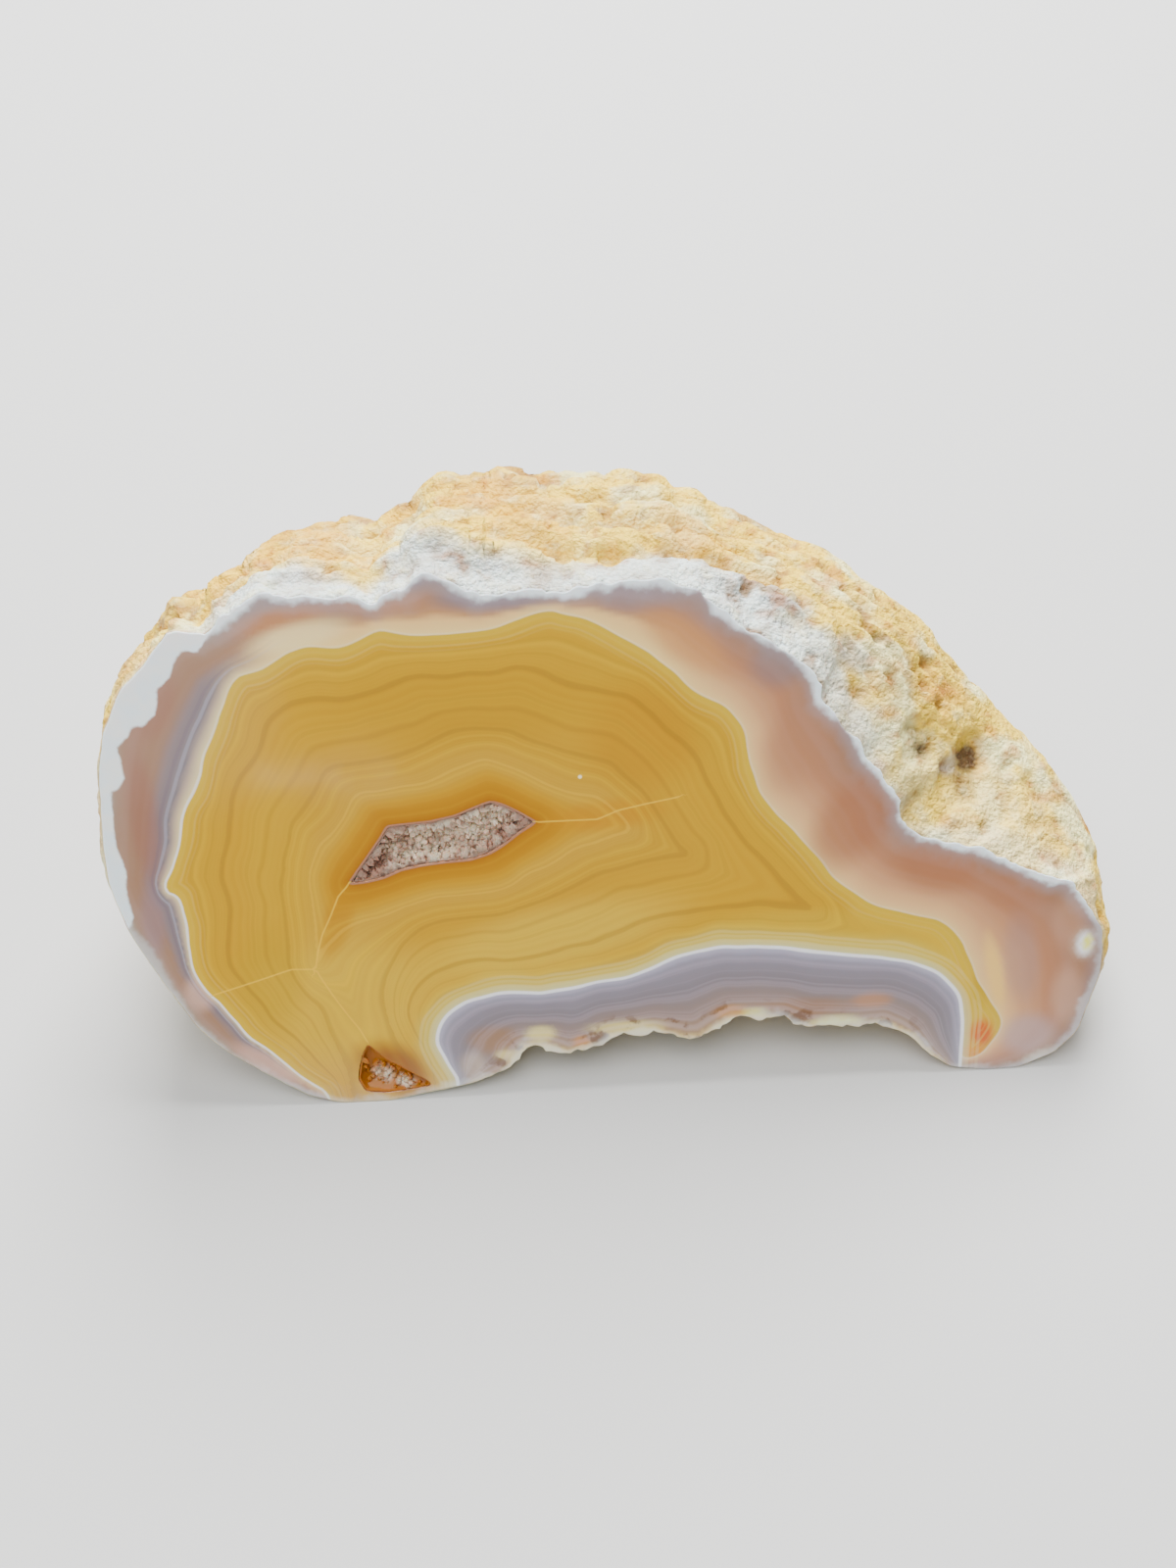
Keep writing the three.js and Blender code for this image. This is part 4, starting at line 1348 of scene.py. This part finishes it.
@dataclass
class DruseTree:
    """A Geometry Nodes tree that grows small pointed quartz crystals on a lining."""

    size: float
    density: float
    seed: int
    sides: int = 6
    girth: float = 0.5
    length: float = 1.3
    tip_length: float = 1.5
    tilt: float = 0.6
    full_turn: float = 6.28
    growth: tuple[float, float] = (0.45, 1.2)
    weld: float = 1e-6

    def tree(self, material: bpy.types.Material) -> tuple[bpy.types.NodeTree, dict[str, str]]:
        """Build the tree.

        Args:
            material: The finish that the crystals and the lining take.

        Returns:
            The tree, and the identifier of each named input.
        """
        tree = bpy.data.node_groups.new("druse", "GeometryNodeTree")
        names = {}
        for name, kind in (("Geometry", "Geometry"), ("Crystal radius", "Float"), ("Crystal length", "Float"),
                           ("Crystals per area", "Float"), ("Seed", "Int")):
            socket = tree.interface.new_socket(name, in_out="INPUT", socket_type=f"NodeSocket{kind}")
            names[name] = socket.identifier
        tree.interface.new_socket("Geometry", in_out="OUTPUT", socket_type="NodeSocketGeometry")
        n = Nodes(tree)
        given = n.add("NodeGroupInput").outputs
        seed = {"Seed": given["Seed"]}
        growing = n.add("GeometryNodeInputNamedAttribute", {"Name": "growing"}).outputs["Attribute"]
        density = n.product(growing, given["Crystals per area"])
        scatter = n.add("GeometryNodeDistributePointsOnFaces",
                        {"Mesh": given["Geometry"], "Density": density, **seed}).outputs
        lean = n.add("FunctionNodeRandomValue", {0: (-self.tilt, -self.tilt, 0),
                                                 1: (self.tilt, self.tilt, self.full_turn), **seed},
                     data_type="FLOAT_VECTOR")
        leaned = n.add("FunctionNodeEulerToRotation", {0: lean.outputs[0]})
        turn = n.add("FunctionNodeRotateRotation", {0: scatter["Rotation"], 1: leaned.outputs[0]},
                     rotation_space="LOCAL")
        growth = n.add("FunctionNodeRandomValue", {2: self.growth[0], 3: self.growth[1], **seed})
        place = n.add("GeometryNodeInstanceOnPoints", {
            "Points": scatter["Points"], "Rotation": turn.outputs[0], "Scale": growth.outputs[1],
            "Instance": self.crystal(n, given["Crystal radius"], given["Crystal length"])})
        real = n.add("GeometryNodeRealizeInstances", {0: place.outputs[0]})
        whole = self.join(n, real.outputs[0], given["Geometry"])
        dress = n.add("GeometryNodeSetMaterial", {0: whole, "Material": material})
        n.add("NodeGroupOutput", {0: dress.outputs[0]})
        return tree, names

    def join(self, n: Nodes, *parts: Socket) -> Socket:
        """Join parts of geometry in order.

        Args:
            n: The tree's nodes.
            *parts: The parts.

        Returns:
            The joined geometry.
        """
        joint = n.add("GeometryNodeJoinGeometry")
        for part in parts:
            n.feed(joint.inputs[0], part)
        return joint.outputs[0]

    def crystal(self, n: Nodes, radius: Socket, length: Socket) -> Socket:
        """Build one closed crystal: a column with a pointed tip.

        Args:
            n: The tree's nodes.
            radius: The radius of the crystal.
            length: The length of its column.

        Returns:
            The crystal's geometry.
        """
        column = n.add("GeometryNodeMeshCylinder",
                       {"Vertices": self.sides, "Radius": radius, "Depth": length}).outputs
        open_top = n.add("GeometryNodeDeleteGeometry",
                         {"Geometry": column["Mesh"], "Selection": column["Top"]}, domain="FACE")
        tip = n.add("GeometryNodeMeshCone", {
            "Vertices": self.sides, "Radius Top": 0, "Radius Bottom": radius,
            "Depth": n.product(radius, self.tip_length)}, fill_type="NONE")
        rise = n.add("ShaderNodeCombineXYZ", {"Z": n.product(length, 0.5)})
        move = n.add("GeometryNodeTransform", {0: tip.outputs["Mesh"], "Translation": rise.outputs[0]})
        whole = self.join(n, open_top.outputs[0], move.outputs[0])
        return n.add("GeometryNodeMergeByDistance", {"Geometry": whole, "Distance": self.weld}).outputs[0]

    def grow(self, carrier: bpy.types.Object, material: bpy.types.Material) -> None:
        """Grow the crystals on a lining and turn the result into the lining's plain mesh.

        Args:
            carrier: The lining.
            material: The finish of the crystals and the lining.
        """
        tree, names = self.tree(material)
        modifier = carrier.modifiers.new("druse", "NODES")
        modifier.node_group = tree
        modifier[names["Crystal radius"]] = self.size * self.girth * MM
        modifier[names["Crystal length"]] = self.size * self.length * MM
        modifier[names["Crystals per area"]] = self.density / MM ** 2
        modifier[names["Seed"]] = self.seed
        graph = bpy.context.evaluated_depsgraph_get()
        grown = bpy.data.meshes.new_from_object(carrier.evaluated_get(graph), depsgraph=graph)
        carrier.modifiers.remove(modifier)
        carrier.data = grown
        grown.name = carrier.name


class Surface:
    """Collects the points and faces of one mesh, and the kind of each face."""

    def __init__(self) -> None:
        """Start with nothing."""
        self.points: list[np.ndarray] = []
        self.faces: list[tuple[int, ...]] = []
        self.parts: list[int] = []

    def add_points(self, points: np.ndarray) -> int:
        """Add points.

        Args:
            points: Rings or rows of points in face coordinates.

        Returns:
            The number of the first one.
        """
        first = sum(map(len, self.points))
        self.points.append(points.reshape(-1, 3))
        return first

    def add_faces(self, faces: list[tuple[int, ...]], part: Part) -> None:
        """Add faces of one kind."""
        self.faces += faces
        self.parts += [part.value] * len(faces)

    def mesh(self, name: str) -> bpy.types.Mesh:
        """Make the mesh, with every face that lies on the table as ground flat.

        Args:
            name: The mesh's name.

        Returns:
            The mesh, each face with the material slot of its kind.
        """
        placed = FACE.place(np.concatenate(self.points))
        placed[:, 2] = np.maximum(placed[:, 2], 0)
        mesh = bpy.data.meshes.new(name)
        mesh.from_pydata(placed.tolist(), [], self.faces)
        ground = placed[:, 2] < 1e-9
        parts = [Part.GROUND.value if ground[list(face)].all() else part
                 for face, part in zip(self.faces, self.parts)]
        mesh.polygons.foreach_set("material_index", parts)
        return mesh


@dataclass
class Stone:
    """The agate nodule, one closed mesh: polish, crust, the hollows' walls and the ground flat."""

    hollows: list[Hollow]
    spine: Points = field(default_factory=lambda: [(-15, 23), (23, 14)])
    depths: tuple[float, float] = (28.5, 23)
    rises: tuple[float, float] = (2.5, 5)
    roundings: tuple[float, float] = (1, 1.4)
    around: int = 620
    edge_easing: float = 1.1
    wall_rings: int = 40
    wall_crowding: float = 1.15
    back_rings: int = 62
    back_angle: float = math.radians(84)
    face_spacing: float = 0.42
    cap_spacing: float = 0.5
    rim_round: float = 0.16
    rim_drop: float = 0.3
    easing: int = 11
    pit_depth: float = 0.9
    smooth_rings: int = 3
    straight_rings: int = 8
    relief: Relief = Relief()

    def edge(self) -> np.ndarray:
        """Space the face edge evenly, with small chips along the bay and the crust.

        Returns:
            Rows of u and v.
        """
        points = resample(FACE_EDGE, self.around, self.edge_easing)
        along = np.roll(points, -1, axis=0) - np.roll(points, 1, axis=0)
        outward = np.stack([-along[:, 1], along[:, 0]], 1) / np.linalg.norm(along, axis=1)[:, None]
        u, v = points.T
        bay = smooth_step(-13, -10, u) * smooth_step(24, 21, u) * smooth_step(9, 7, v)
        top = smooth_step(12, 16, v) * smooth_step(-36, -32, u)
        chips = flat_noise(u, v, 1.3, 1.0) + 0.6 * flat_noise(u, v, 0.5, 3.0)
        size = (0.05 + 0.34 * bay + 0.2 * top) * chips * smooth_step(0.1, 1.2, v)
        moved = points + outward * size[:, None]
        return np.column_stack([moved[:, 0], np.maximum(moved[:, 1], 0)])

    def reach(self, edge: np.ndarray) -> tuple[np.ndarray, np.ndarray]:
        """Ease the crust's reach and depth from station to station along the edge.

        Args:
            edge: The points of the face edge.

        Returns:
            The reach to the side and up at each point, and the depth.
        """
        stations = sorted(
            (int(np.argmin(np.linalg.norm(edge - at, axis=1))), *reach, depth)
            for at, reach, depth in CRUST_REACH)
        table = np.array([(stations[-1][0] - len(edge), *stations[-1][1:])] + stations
                         + [(stations[0][0] + len(edge), *stations[0][1:])], float)
        index = np.arange(len(edge))
        after = np.searchsorted(table[:, 0], index, side="right")
        before = after - 1
        share = (index - table[before, 0]) / (table[after, 0] - table[before, 0])
        share = smooth_step(0, 1, share)[:, None]
        eased = table[before, 1:] * (1 - share) + table[after, 1:] * share
        return eased[:, :2], eased[:, 2]

    def rings(self) -> np.ndarray:
        """Lay rings from the face edge over the crust to the back.

        Returns:
            Rings of points in face coordinates.
        """
        edge = self.edge()
        reach, depth = self.reach(edge)
        near, _ = nearest_on_spine(self.spine, edge)
        inward = (near - edge) / np.linalg.norm(near - edge, axis=1)[:, None] * self.rim_round
        drop = self.rim_round * self.rim_drop
        rings = [np.column_stack([edge + inward, np.zeros(len(edge))]),
                 np.column_stack([edge + inward * self.rim_drop, np.full(len(edge), drop)])]
        for ring in range(1, self.wall_rings + 1):
            share = (ring / self.wall_rings) ** self.wall_crowding
            rings.append(np.column_stack([edge + reach * math.sin(share * math.pi / 2), depth * share]))
        rings = np.array(rings + self.back(edge + reach, depth))
        steps = range(-2 * self.easing, 2 * self.easing + 1)
        weights = [math.exp(-(step / self.easing) ** 2) for step in steps]
        eased = sum(np.roll(rings, step, axis=1) * weight for step, weight in zip(steps, weights))
        eased /= sum(weights)
        share = smooth_step(0.6, 6, rings[..., 2:3]) * smooth_step(6, 15, rings[..., 0:1])
        return self.roughen(rings + (eased - rings) * share)

    def back(self, wide: np.ndarray, depth: np.ndarray) -> list[np.ndarray]:
        """Round off the back behind the widest ring.

        Args:
            wide: The widest ring, as rows of u and v.
            depth: How deep it lies at each point.

        Returns:
            Rings that shrink towards the spine.
        """
        near, share = nearest_on_spine(self.spine, wide)
        radius = np.linalg.norm(wide - near, axis=1)
        downward = smooth_step(0, 0.8, (near[:, 1] - wide[:, 1]) / radius)
        power = between(self.roundings, downward)
        rings = []
        for ring in range(1, self.back_rings + 1):
            angle = self.back_angle * ring / self.back_rings
            flat = near + (wide - near) * (math.cos(angle) ** power)[:, None]
            flat[:, 1] += between(self.rises, share) * math.sin(angle) ** 2
            deeper = (between(self.depths, share) - depth) * math.sin(angle)
            rings.append(np.column_stack([flat, depth + deeper]))
        return rings

    def roughen(self, rings: np.ndarray) -> np.ndarray:
        """Push every point of the crust outwards by the relief, and sink the pits.

        Args:
            rings: The smooth rings.

        Returns:
            The rough rings.
        """
        along = np.roll(rings, -1, axis=1) - np.roll(rings, 1, axis=1)
        outward = np.cross(np.gradient(rings, axis=0), along)
        outward /= np.maximum(np.linalg.norm(outward, axis=-1), 1e-9)[..., None]
        height = self.relief.height(rings) - self.pit_depth * self.relief.pit_depth(rings)
        height[:self.smooth_rings] = 0
        height *= smooth_step(-2.5, -0.2, FACE.place(rings)[..., 2] / MM)
        straight = np.zeros(len(rings))
        straight[-self.straight_rings:] = np.linspace(0.2, 1, self.straight_rings)
        outward = outward * (1 - straight)[:, None, None]
        outward[..., 2] += straight[:, None]
        return rings + outward * height[..., None]

    def back_cap(self, last: np.ndarray) -> tuple[np.ndarray, np.ndarray]:
        """Fill the last ring of the back.

        Args:
            last: The last ring.

        Returns:
            The points inside it, and the triangles.
        """
        flat, triangles = fill_region([last[:, :2]], self.cap_spacing)
        inner = flat[len(last):]
        _, share = nearest_on_spine(self.spine, inner)
        points = np.column_stack([inner, between(self.depths, share)])
        points[:, 2] += self.relief.height(points)
        return points, triangles

    def build(self) -> bpy.types.Object:
        """Make the whole stone as one object with its four finishes.

        Returns:
            The stone.
        """
        surface, rings = Surface(), self.rings()
        surface.add_points(rings)
        faces = ring_faces(len(rings), self.around)
        surface.add_faces(faces[:self.around], Part.POLISH)
        surface.add_faces(faces[self.around:], Part.CRUST)
        cap_points, cap = self.back_cap(rings[-1])
        surface.add_points(cap_points)
        last = (len(rings) - 1) * self.around
        surface.add_faces([tuple(last + i for i in reversed(face)) for face in cap.tolist()], Part.CRUST)
        loops, numbers = [rings[0][:, :2]], [np.arange(self.around)]
        for hollow in self.hollows:
            wall = hollow.wall()
            first = surface.add_points(wall)
            faces = ring_faces(len(wall), hollow.count, first)
            surface.add_faces([(a, d, c, b) for a, b, c, d in faces], Part.HOLLOW)
            floor = first + (len(wall) - 1) * hollow.count
            surface.add_faces([tuple(reversed(range(floor, floor + hollow.count)))], Part.HOLLOW)
            loops.append(wall[0][:, :2])
            numbers.append(first + np.arange(hollow.count))
        flat, triangles = fill_region(loops, self.face_spacing)
        inner = flat[sum(map(len, loops)):]
        first = surface.add_points(np.column_stack([inner, np.zeros(len(inner))]))
        lookup = np.concatenate(numbers + [first + np.arange(len(inner))])
        surface.add_faces([tuple(face) for face in lookup[triangles].tolist()], Part.POLISH)
        mesh = surface.mesh("agate_nodule_stone")
        self.dress(mesh)
        stone = bpy.data.objects.new("polished_stone", mesh)
        bpy.context.scene.collection.objects.link(stone)
        return stone

    def dress(self, mesh: bpy.types.Mesh) -> None:
        """Give the stone its finishes, its band pattern and the colours of its crust.

        Args:
            mesh: The stone's mesh.
        """
        for finish in (PolishFinish(), CrustFinish(), HollowFinish(), GroundFinish()):
            mesh.materials.append(finish.build())
        points = read_points(mesh)
        uvw = FACE.read(points)
        BandPattern().store(mesh, uvw)
        store_colour(mesh, "crust_colour", CrustColours(self.relief).colours(uvw))
        store_field(mesh, "ground_mm", self.ground_distance(mesh, points))
        index = np.empty(len(mesh.polygons), np.int32)
        mesh.polygons.foreach_get("material_index", index)
        smooth = (index == Part.CRUST.value) | (index == Part.HOLLOW.value)
        mesh.polygons.foreach_set("use_smooth", smooth)
        mesh.update()

    def ground_distance(self, mesh: bpy.types.Mesh, points: np.ndarray) -> np.ndarray:
        """Measure how far each point of the ground flat lies from the flat's edge.

        Args:
            mesh: The stone's mesh.
            points: Its points, in metres.

        Returns:
            Distances in millimetres, 0 off the flat.
        """
        distance = np.zeros(len(points))
        ground, other = set(), set()
        for polygon in mesh.polygons:
            target = ground if polygon.material_index == Part.GROUND.value else other
            target.update(polygon.vertices)
        rim = points[sorted(ground & other)][::3, :2]
        inner = np.array(sorted(ground))
        away = points[inner][:, None, :2] - rim[None]
        distance[inner] = np.linalg.norm(away, axis=2).min(axis=1) / MM
        return distance


@dataclass(frozen=True)
class CrustColours:
    """The colours of the rough crust, worked out on its points."""

    relief: Relief
    cream: Colour = (246, 208, 58)
    chalk: Colour = (248, 240, 168)
    tan: Colour = (236, 180, 30)
    rust: Colour = (204, 128, 16)
    chalcedony: Colour = (212, 232, 240)
    grey: Colour = (144, 150, 158)
    # Near-black brown laid into the named pits as painted shade
    pit_shade: Colour = (62, 28, 8)
    # Brown for the stain on the back, also laid into the crust's creases and small holes as painted shade
    crust_brown: Colour = (136, 88, 22)
    dot: Colour = (176, 104, 26)
    broad: Grain = Grain(6.5)
    middle: Grain = Grain(2.6, 1.0, (9, 0, 0))
    small: Grain = Grain(1.1, 1.0, (0, 4, 0))
    spots: Grain = Grain(1.9, 1.0, (0, 0, 30))
    clouds: Grain = Grain(4, 1.0, (0, 0, 50))
    dots: Grain = Grain(0.95, 1.0, (0, 0, 70))
    patches: tuple[Patch, ...] = (
        Patch((-23, 46), (2.6, 1.8), (236, 178, 36), 0.7, 30),
        Patch((-10, 49.5), (3, 1.2), (236, 176, 34), 0.6),
        Patch((24, 27), (2.4, 3), (236, 222, 150), 0.7, -30),
        Patch((31, 23), (5, 3), (240, 214, 130), 0.6, -30),
        Patch((27.5, 26.8), (1.4, 1), (200, 196, 190), 0.7),
        Patch((36, 20.5), (3, 1.6), (240, 204, 100), 0.6, -40),
    )
    skin_patches: tuple[Patch, ...] = (
        Patch((-4.2, 47), (4.6, 2), (246, 218, 110), 0.75),
        Patch((6.6, 46.2), (1.5, 0.6), (232, 150, 50), 0.7, -12),
        Patch((13.8, 42.2), (3, 1.5), (168, 174, 180), 0.75, -25),
        Patch((14.2, 42.4), (1.1, 0.7), (226, 190, 80), 0.8, -25),
        Patch((19.2, 37), (2.2, 1.3), (176, 184, 196), 0.6, -40),
    )

    def colours(self, uvw: np.ndarray) -> np.ndarray:
        """Work out the colour of each point.

        Args:
            uvw: Points in face coordinates.

        Returns:
            Rows of linear colours.
        """
        u, v, w = uvw.T
        broad, middle, small = (grain.at(uvw) for grain in (self.broad, self.middle, self.small))
        behind = smooth_step(9, 19, w)
        stained = smooth_step(-0.1, 0.7, broad + 0.5 * middle)
        colours = tinted(linear(self.cream), self.chalk, smooth_step(-0.15, 0.6, middle + 0.4 * small))
        colours = tinted(colours, self.tan, smooth_step(0.05, 0.5, broad + 0.35 * small) * 0.7)
        colours = tinted(colours, self.rust, smooth_step(0.42, 0.75, self.spots.at(uvw)) * 0.55)
        # A brown stain towards the back of the stone
        colours = tinted(colours, self.crust_brown, behind * stained * 0.75)
        colours = tinted(colours, self.grey, behind * smooth_step(0.3, 0.7, self.clouds.at(uvw)) * 0.4)
        for patch in self.patches:
            colours = blend(colours, patch.paint(colours, uvw[:, :2]), smooth_step(17, 12, w))
        width = 1.0 + 1.6 * smooth_step(24, 12, u) + 1.4 * flat_noise(u, v, 4, 7.0) + 0.5 * small
        top = smooth_step(14, 30, v) * smooth_step(-34, -28, u) * smooth_step(26, 12, u)
        band = smooth_step(width + 1.2, width - 0.6, w) * (0.35 + 0.65 * top)
        colours = tinted(colours, self.chalcedony, band * 0.85)
        for patch in self.skin_patches:
            colours = blend(colours, patch.paint(colours, uvw[:, :2]), smooth_step(6, 3, w))
        dots = smooth_step(0.46, 0.7, self.dots.at(uvw)) * smooth_step(0.5, 2, w)
        colours = tinted(colours, self.dot, dots * 0.6)
        # Painted shade: the low points of the fine relief, its creases, thin layers and small holes, turn
        # brown
        colours = tinted(colours, self.crust_brown, smooth_step(0.06, -0.4, self.relief.fine(uvw)) * 0.8)
        # Painted shade: the named pits are darkened almost to black
        return tinted(colours, self.pit_shade, smooth_step(0.08, 0.9, self.relief.pit_depth(uvw)) * 0.94)


@dataclass(frozen=True)
class Studio:
    """A pale floor, soft light and the camera at the photograph's angle."""

    eye: tuple[float, float, float] = (-7.18, -87.82, 125.58)
    look_down: float = math.radians(51.6)
    look_aside: float = math.radians(3.3)
    focal_length: float = 37.485
    floor_size: float = 1.6
    floor_colour: tuple[float, float, float] = (0.5, 0.5, 0.49)
    sky_colour: tuple[float, float, float, float] = (0.9, 0.93, 1.0, 1)
    sky_strength: float = 0.3
    light_aim: tuple[float, float, float] = (0, 0, 0.015)

    def build(self) -> None:
        """Make the floor, the lights, the world and the camera."""
        self.floor()
        self.light("key", (0.03, 0.34, 0.42), (0.34, 0.34), 11.5)
        self.light("overhead", (-0.12, -0.1, 0.55), (0.5, 0.5), 4.6)
        self.light("front_fill", (-0.3, -0.5, 0.35), (0.5, 0.5), 0.6)
        self.light("low_strip", (-0.091, -0.546, 0.112), (0.055, 0.008), 0.0035)
        world = bpy.data.worlds.new("studio")
        world.use_nodes = True
        sky = world.node_tree.nodes["Background"].inputs
        sky["Color"].default_value = self.sky_colour
        sky["Strength"].default_value = self.sky_strength
        bpy.context.scene.world = world
        self.camera()

    def floor(self) -> None:
        """Lay the floor."""
        half = self.floor_size / 2
        mesh = bpy.data.meshes.new("floor")
        corners = [(-half, -half, 0), (half, -half, 0), (half, half, 0), (-half, half, 0)]
        mesh.from_pydata(corners, [], [(0, 1, 2, 3)])
        floor = bpy.data.objects.new("floor", mesh)
        bpy.context.scene.collection.objects.link(floor)
        mesh.materials.append(Shader("floor_pale").finish(Base_Color=self.floor_colour, Roughness=0.8))

    def light(self, name: str, at: tuple[float, float, float], size: tuple[float, float],
              power: float) -> None:
        """Hang one soft light that faces the stone.

        Args:
            name: The light's name.
            at: Its place, in metres.
            size: Its width and height, in metres.
            power: Its power, in watts.
        """
        lamp = bpy.data.lights.new(name, "AREA")
        lamp.shape = "RECTANGLE"
        lamp.size, lamp.size_y = size
        lamp.energy = power
        holder = bpy.data.objects.new(name, lamp)
        holder.location = at
        aim = Vector(self.light_aim) - Vector(at)
        holder.rotation_euler = aim.to_track_quat("-Z", "Y").to_euler()
        bpy.context.scene.collection.objects.link(holder)

    def camera(self) -> None:
        """Set the camera where the photograph was taken from."""
        data = bpy.data.cameras.new("camera")
        data.lens = self.focal_length
        data.sensor_width = 36
        data.sensor_fit = "AUTO"
        data.clip_start = 0.01
        camera = bpy.data.objects.new("camera", data)
        side, down = self.look_aside, self.look_down
        forward = Vector((math.sin(side) * math.cos(down), math.cos(side) * math.cos(down), -math.sin(down)))
        right = Vector((math.cos(side), -math.sin(side), 0))
        turn = Matrix((right, right.cross(forward), -forward)).transposed()
        camera.matrix_world = Matrix.Translation(Vector(self.eye) * MM) @ turn.to_4x4()
        bpy.context.scene.collection.objects.link(camera)
        bpy.context.scene.camera = camera


def main() -> None:
    """Build the stone, its crystal crusts and the studio, and report each piece."""
    logging.basicConfig(level=logging.INFO, format="%(name)s: %(message)s")
    vug = Hollow(
        "vug_druse", VUG_RIM, [(-18.6, 22.2), (-9.2, 25)], depth=4.4, count=120, crystal_size=0.5,
        seed=11, density=11, frost=(
            Patch((-15, 23.5), (4.5, 2.5), turn=18),
            Patch((-11.3, 25), (3, 2.1), strength=0.95, turn=8)))
    pocket = Hollow(
        "edge_pocket_druse", POCKET_RIM, [(-21.3, 2.9), (-18.6, 1.9)], depth=2.6, count=72,
        crystal_size=0.42, seed=5, density=16, bed_depth=1.0, bare_growth=0.05, brown_from=0.5,
        brown=(168, 100, 4), frost=(
            Patch((-20.5, 2.4), (1.0, 0.85), turn=-35),
            Patch((-18.7, 1.6), (0.9, 0.45), strength=0.9, turn=-20)))
    stone = Stone([vug, pocket]).build()
    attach(stone, "root")
    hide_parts("agate_nodule")
    LOG.info("%s: %d faces", stone.name, len(stone.data.polygons))
    for hollow, node in ((vug, "vug_crystals"), (pocket, "edge_pocket_crystals")):
        crust = hollow.build()
        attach(crust, "root")
        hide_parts(node)
        LOG.info("%s: %d faces", crust.name, len(crust.data.polygons))
    Studio().build()


if __name__ == "__main__":
    main()
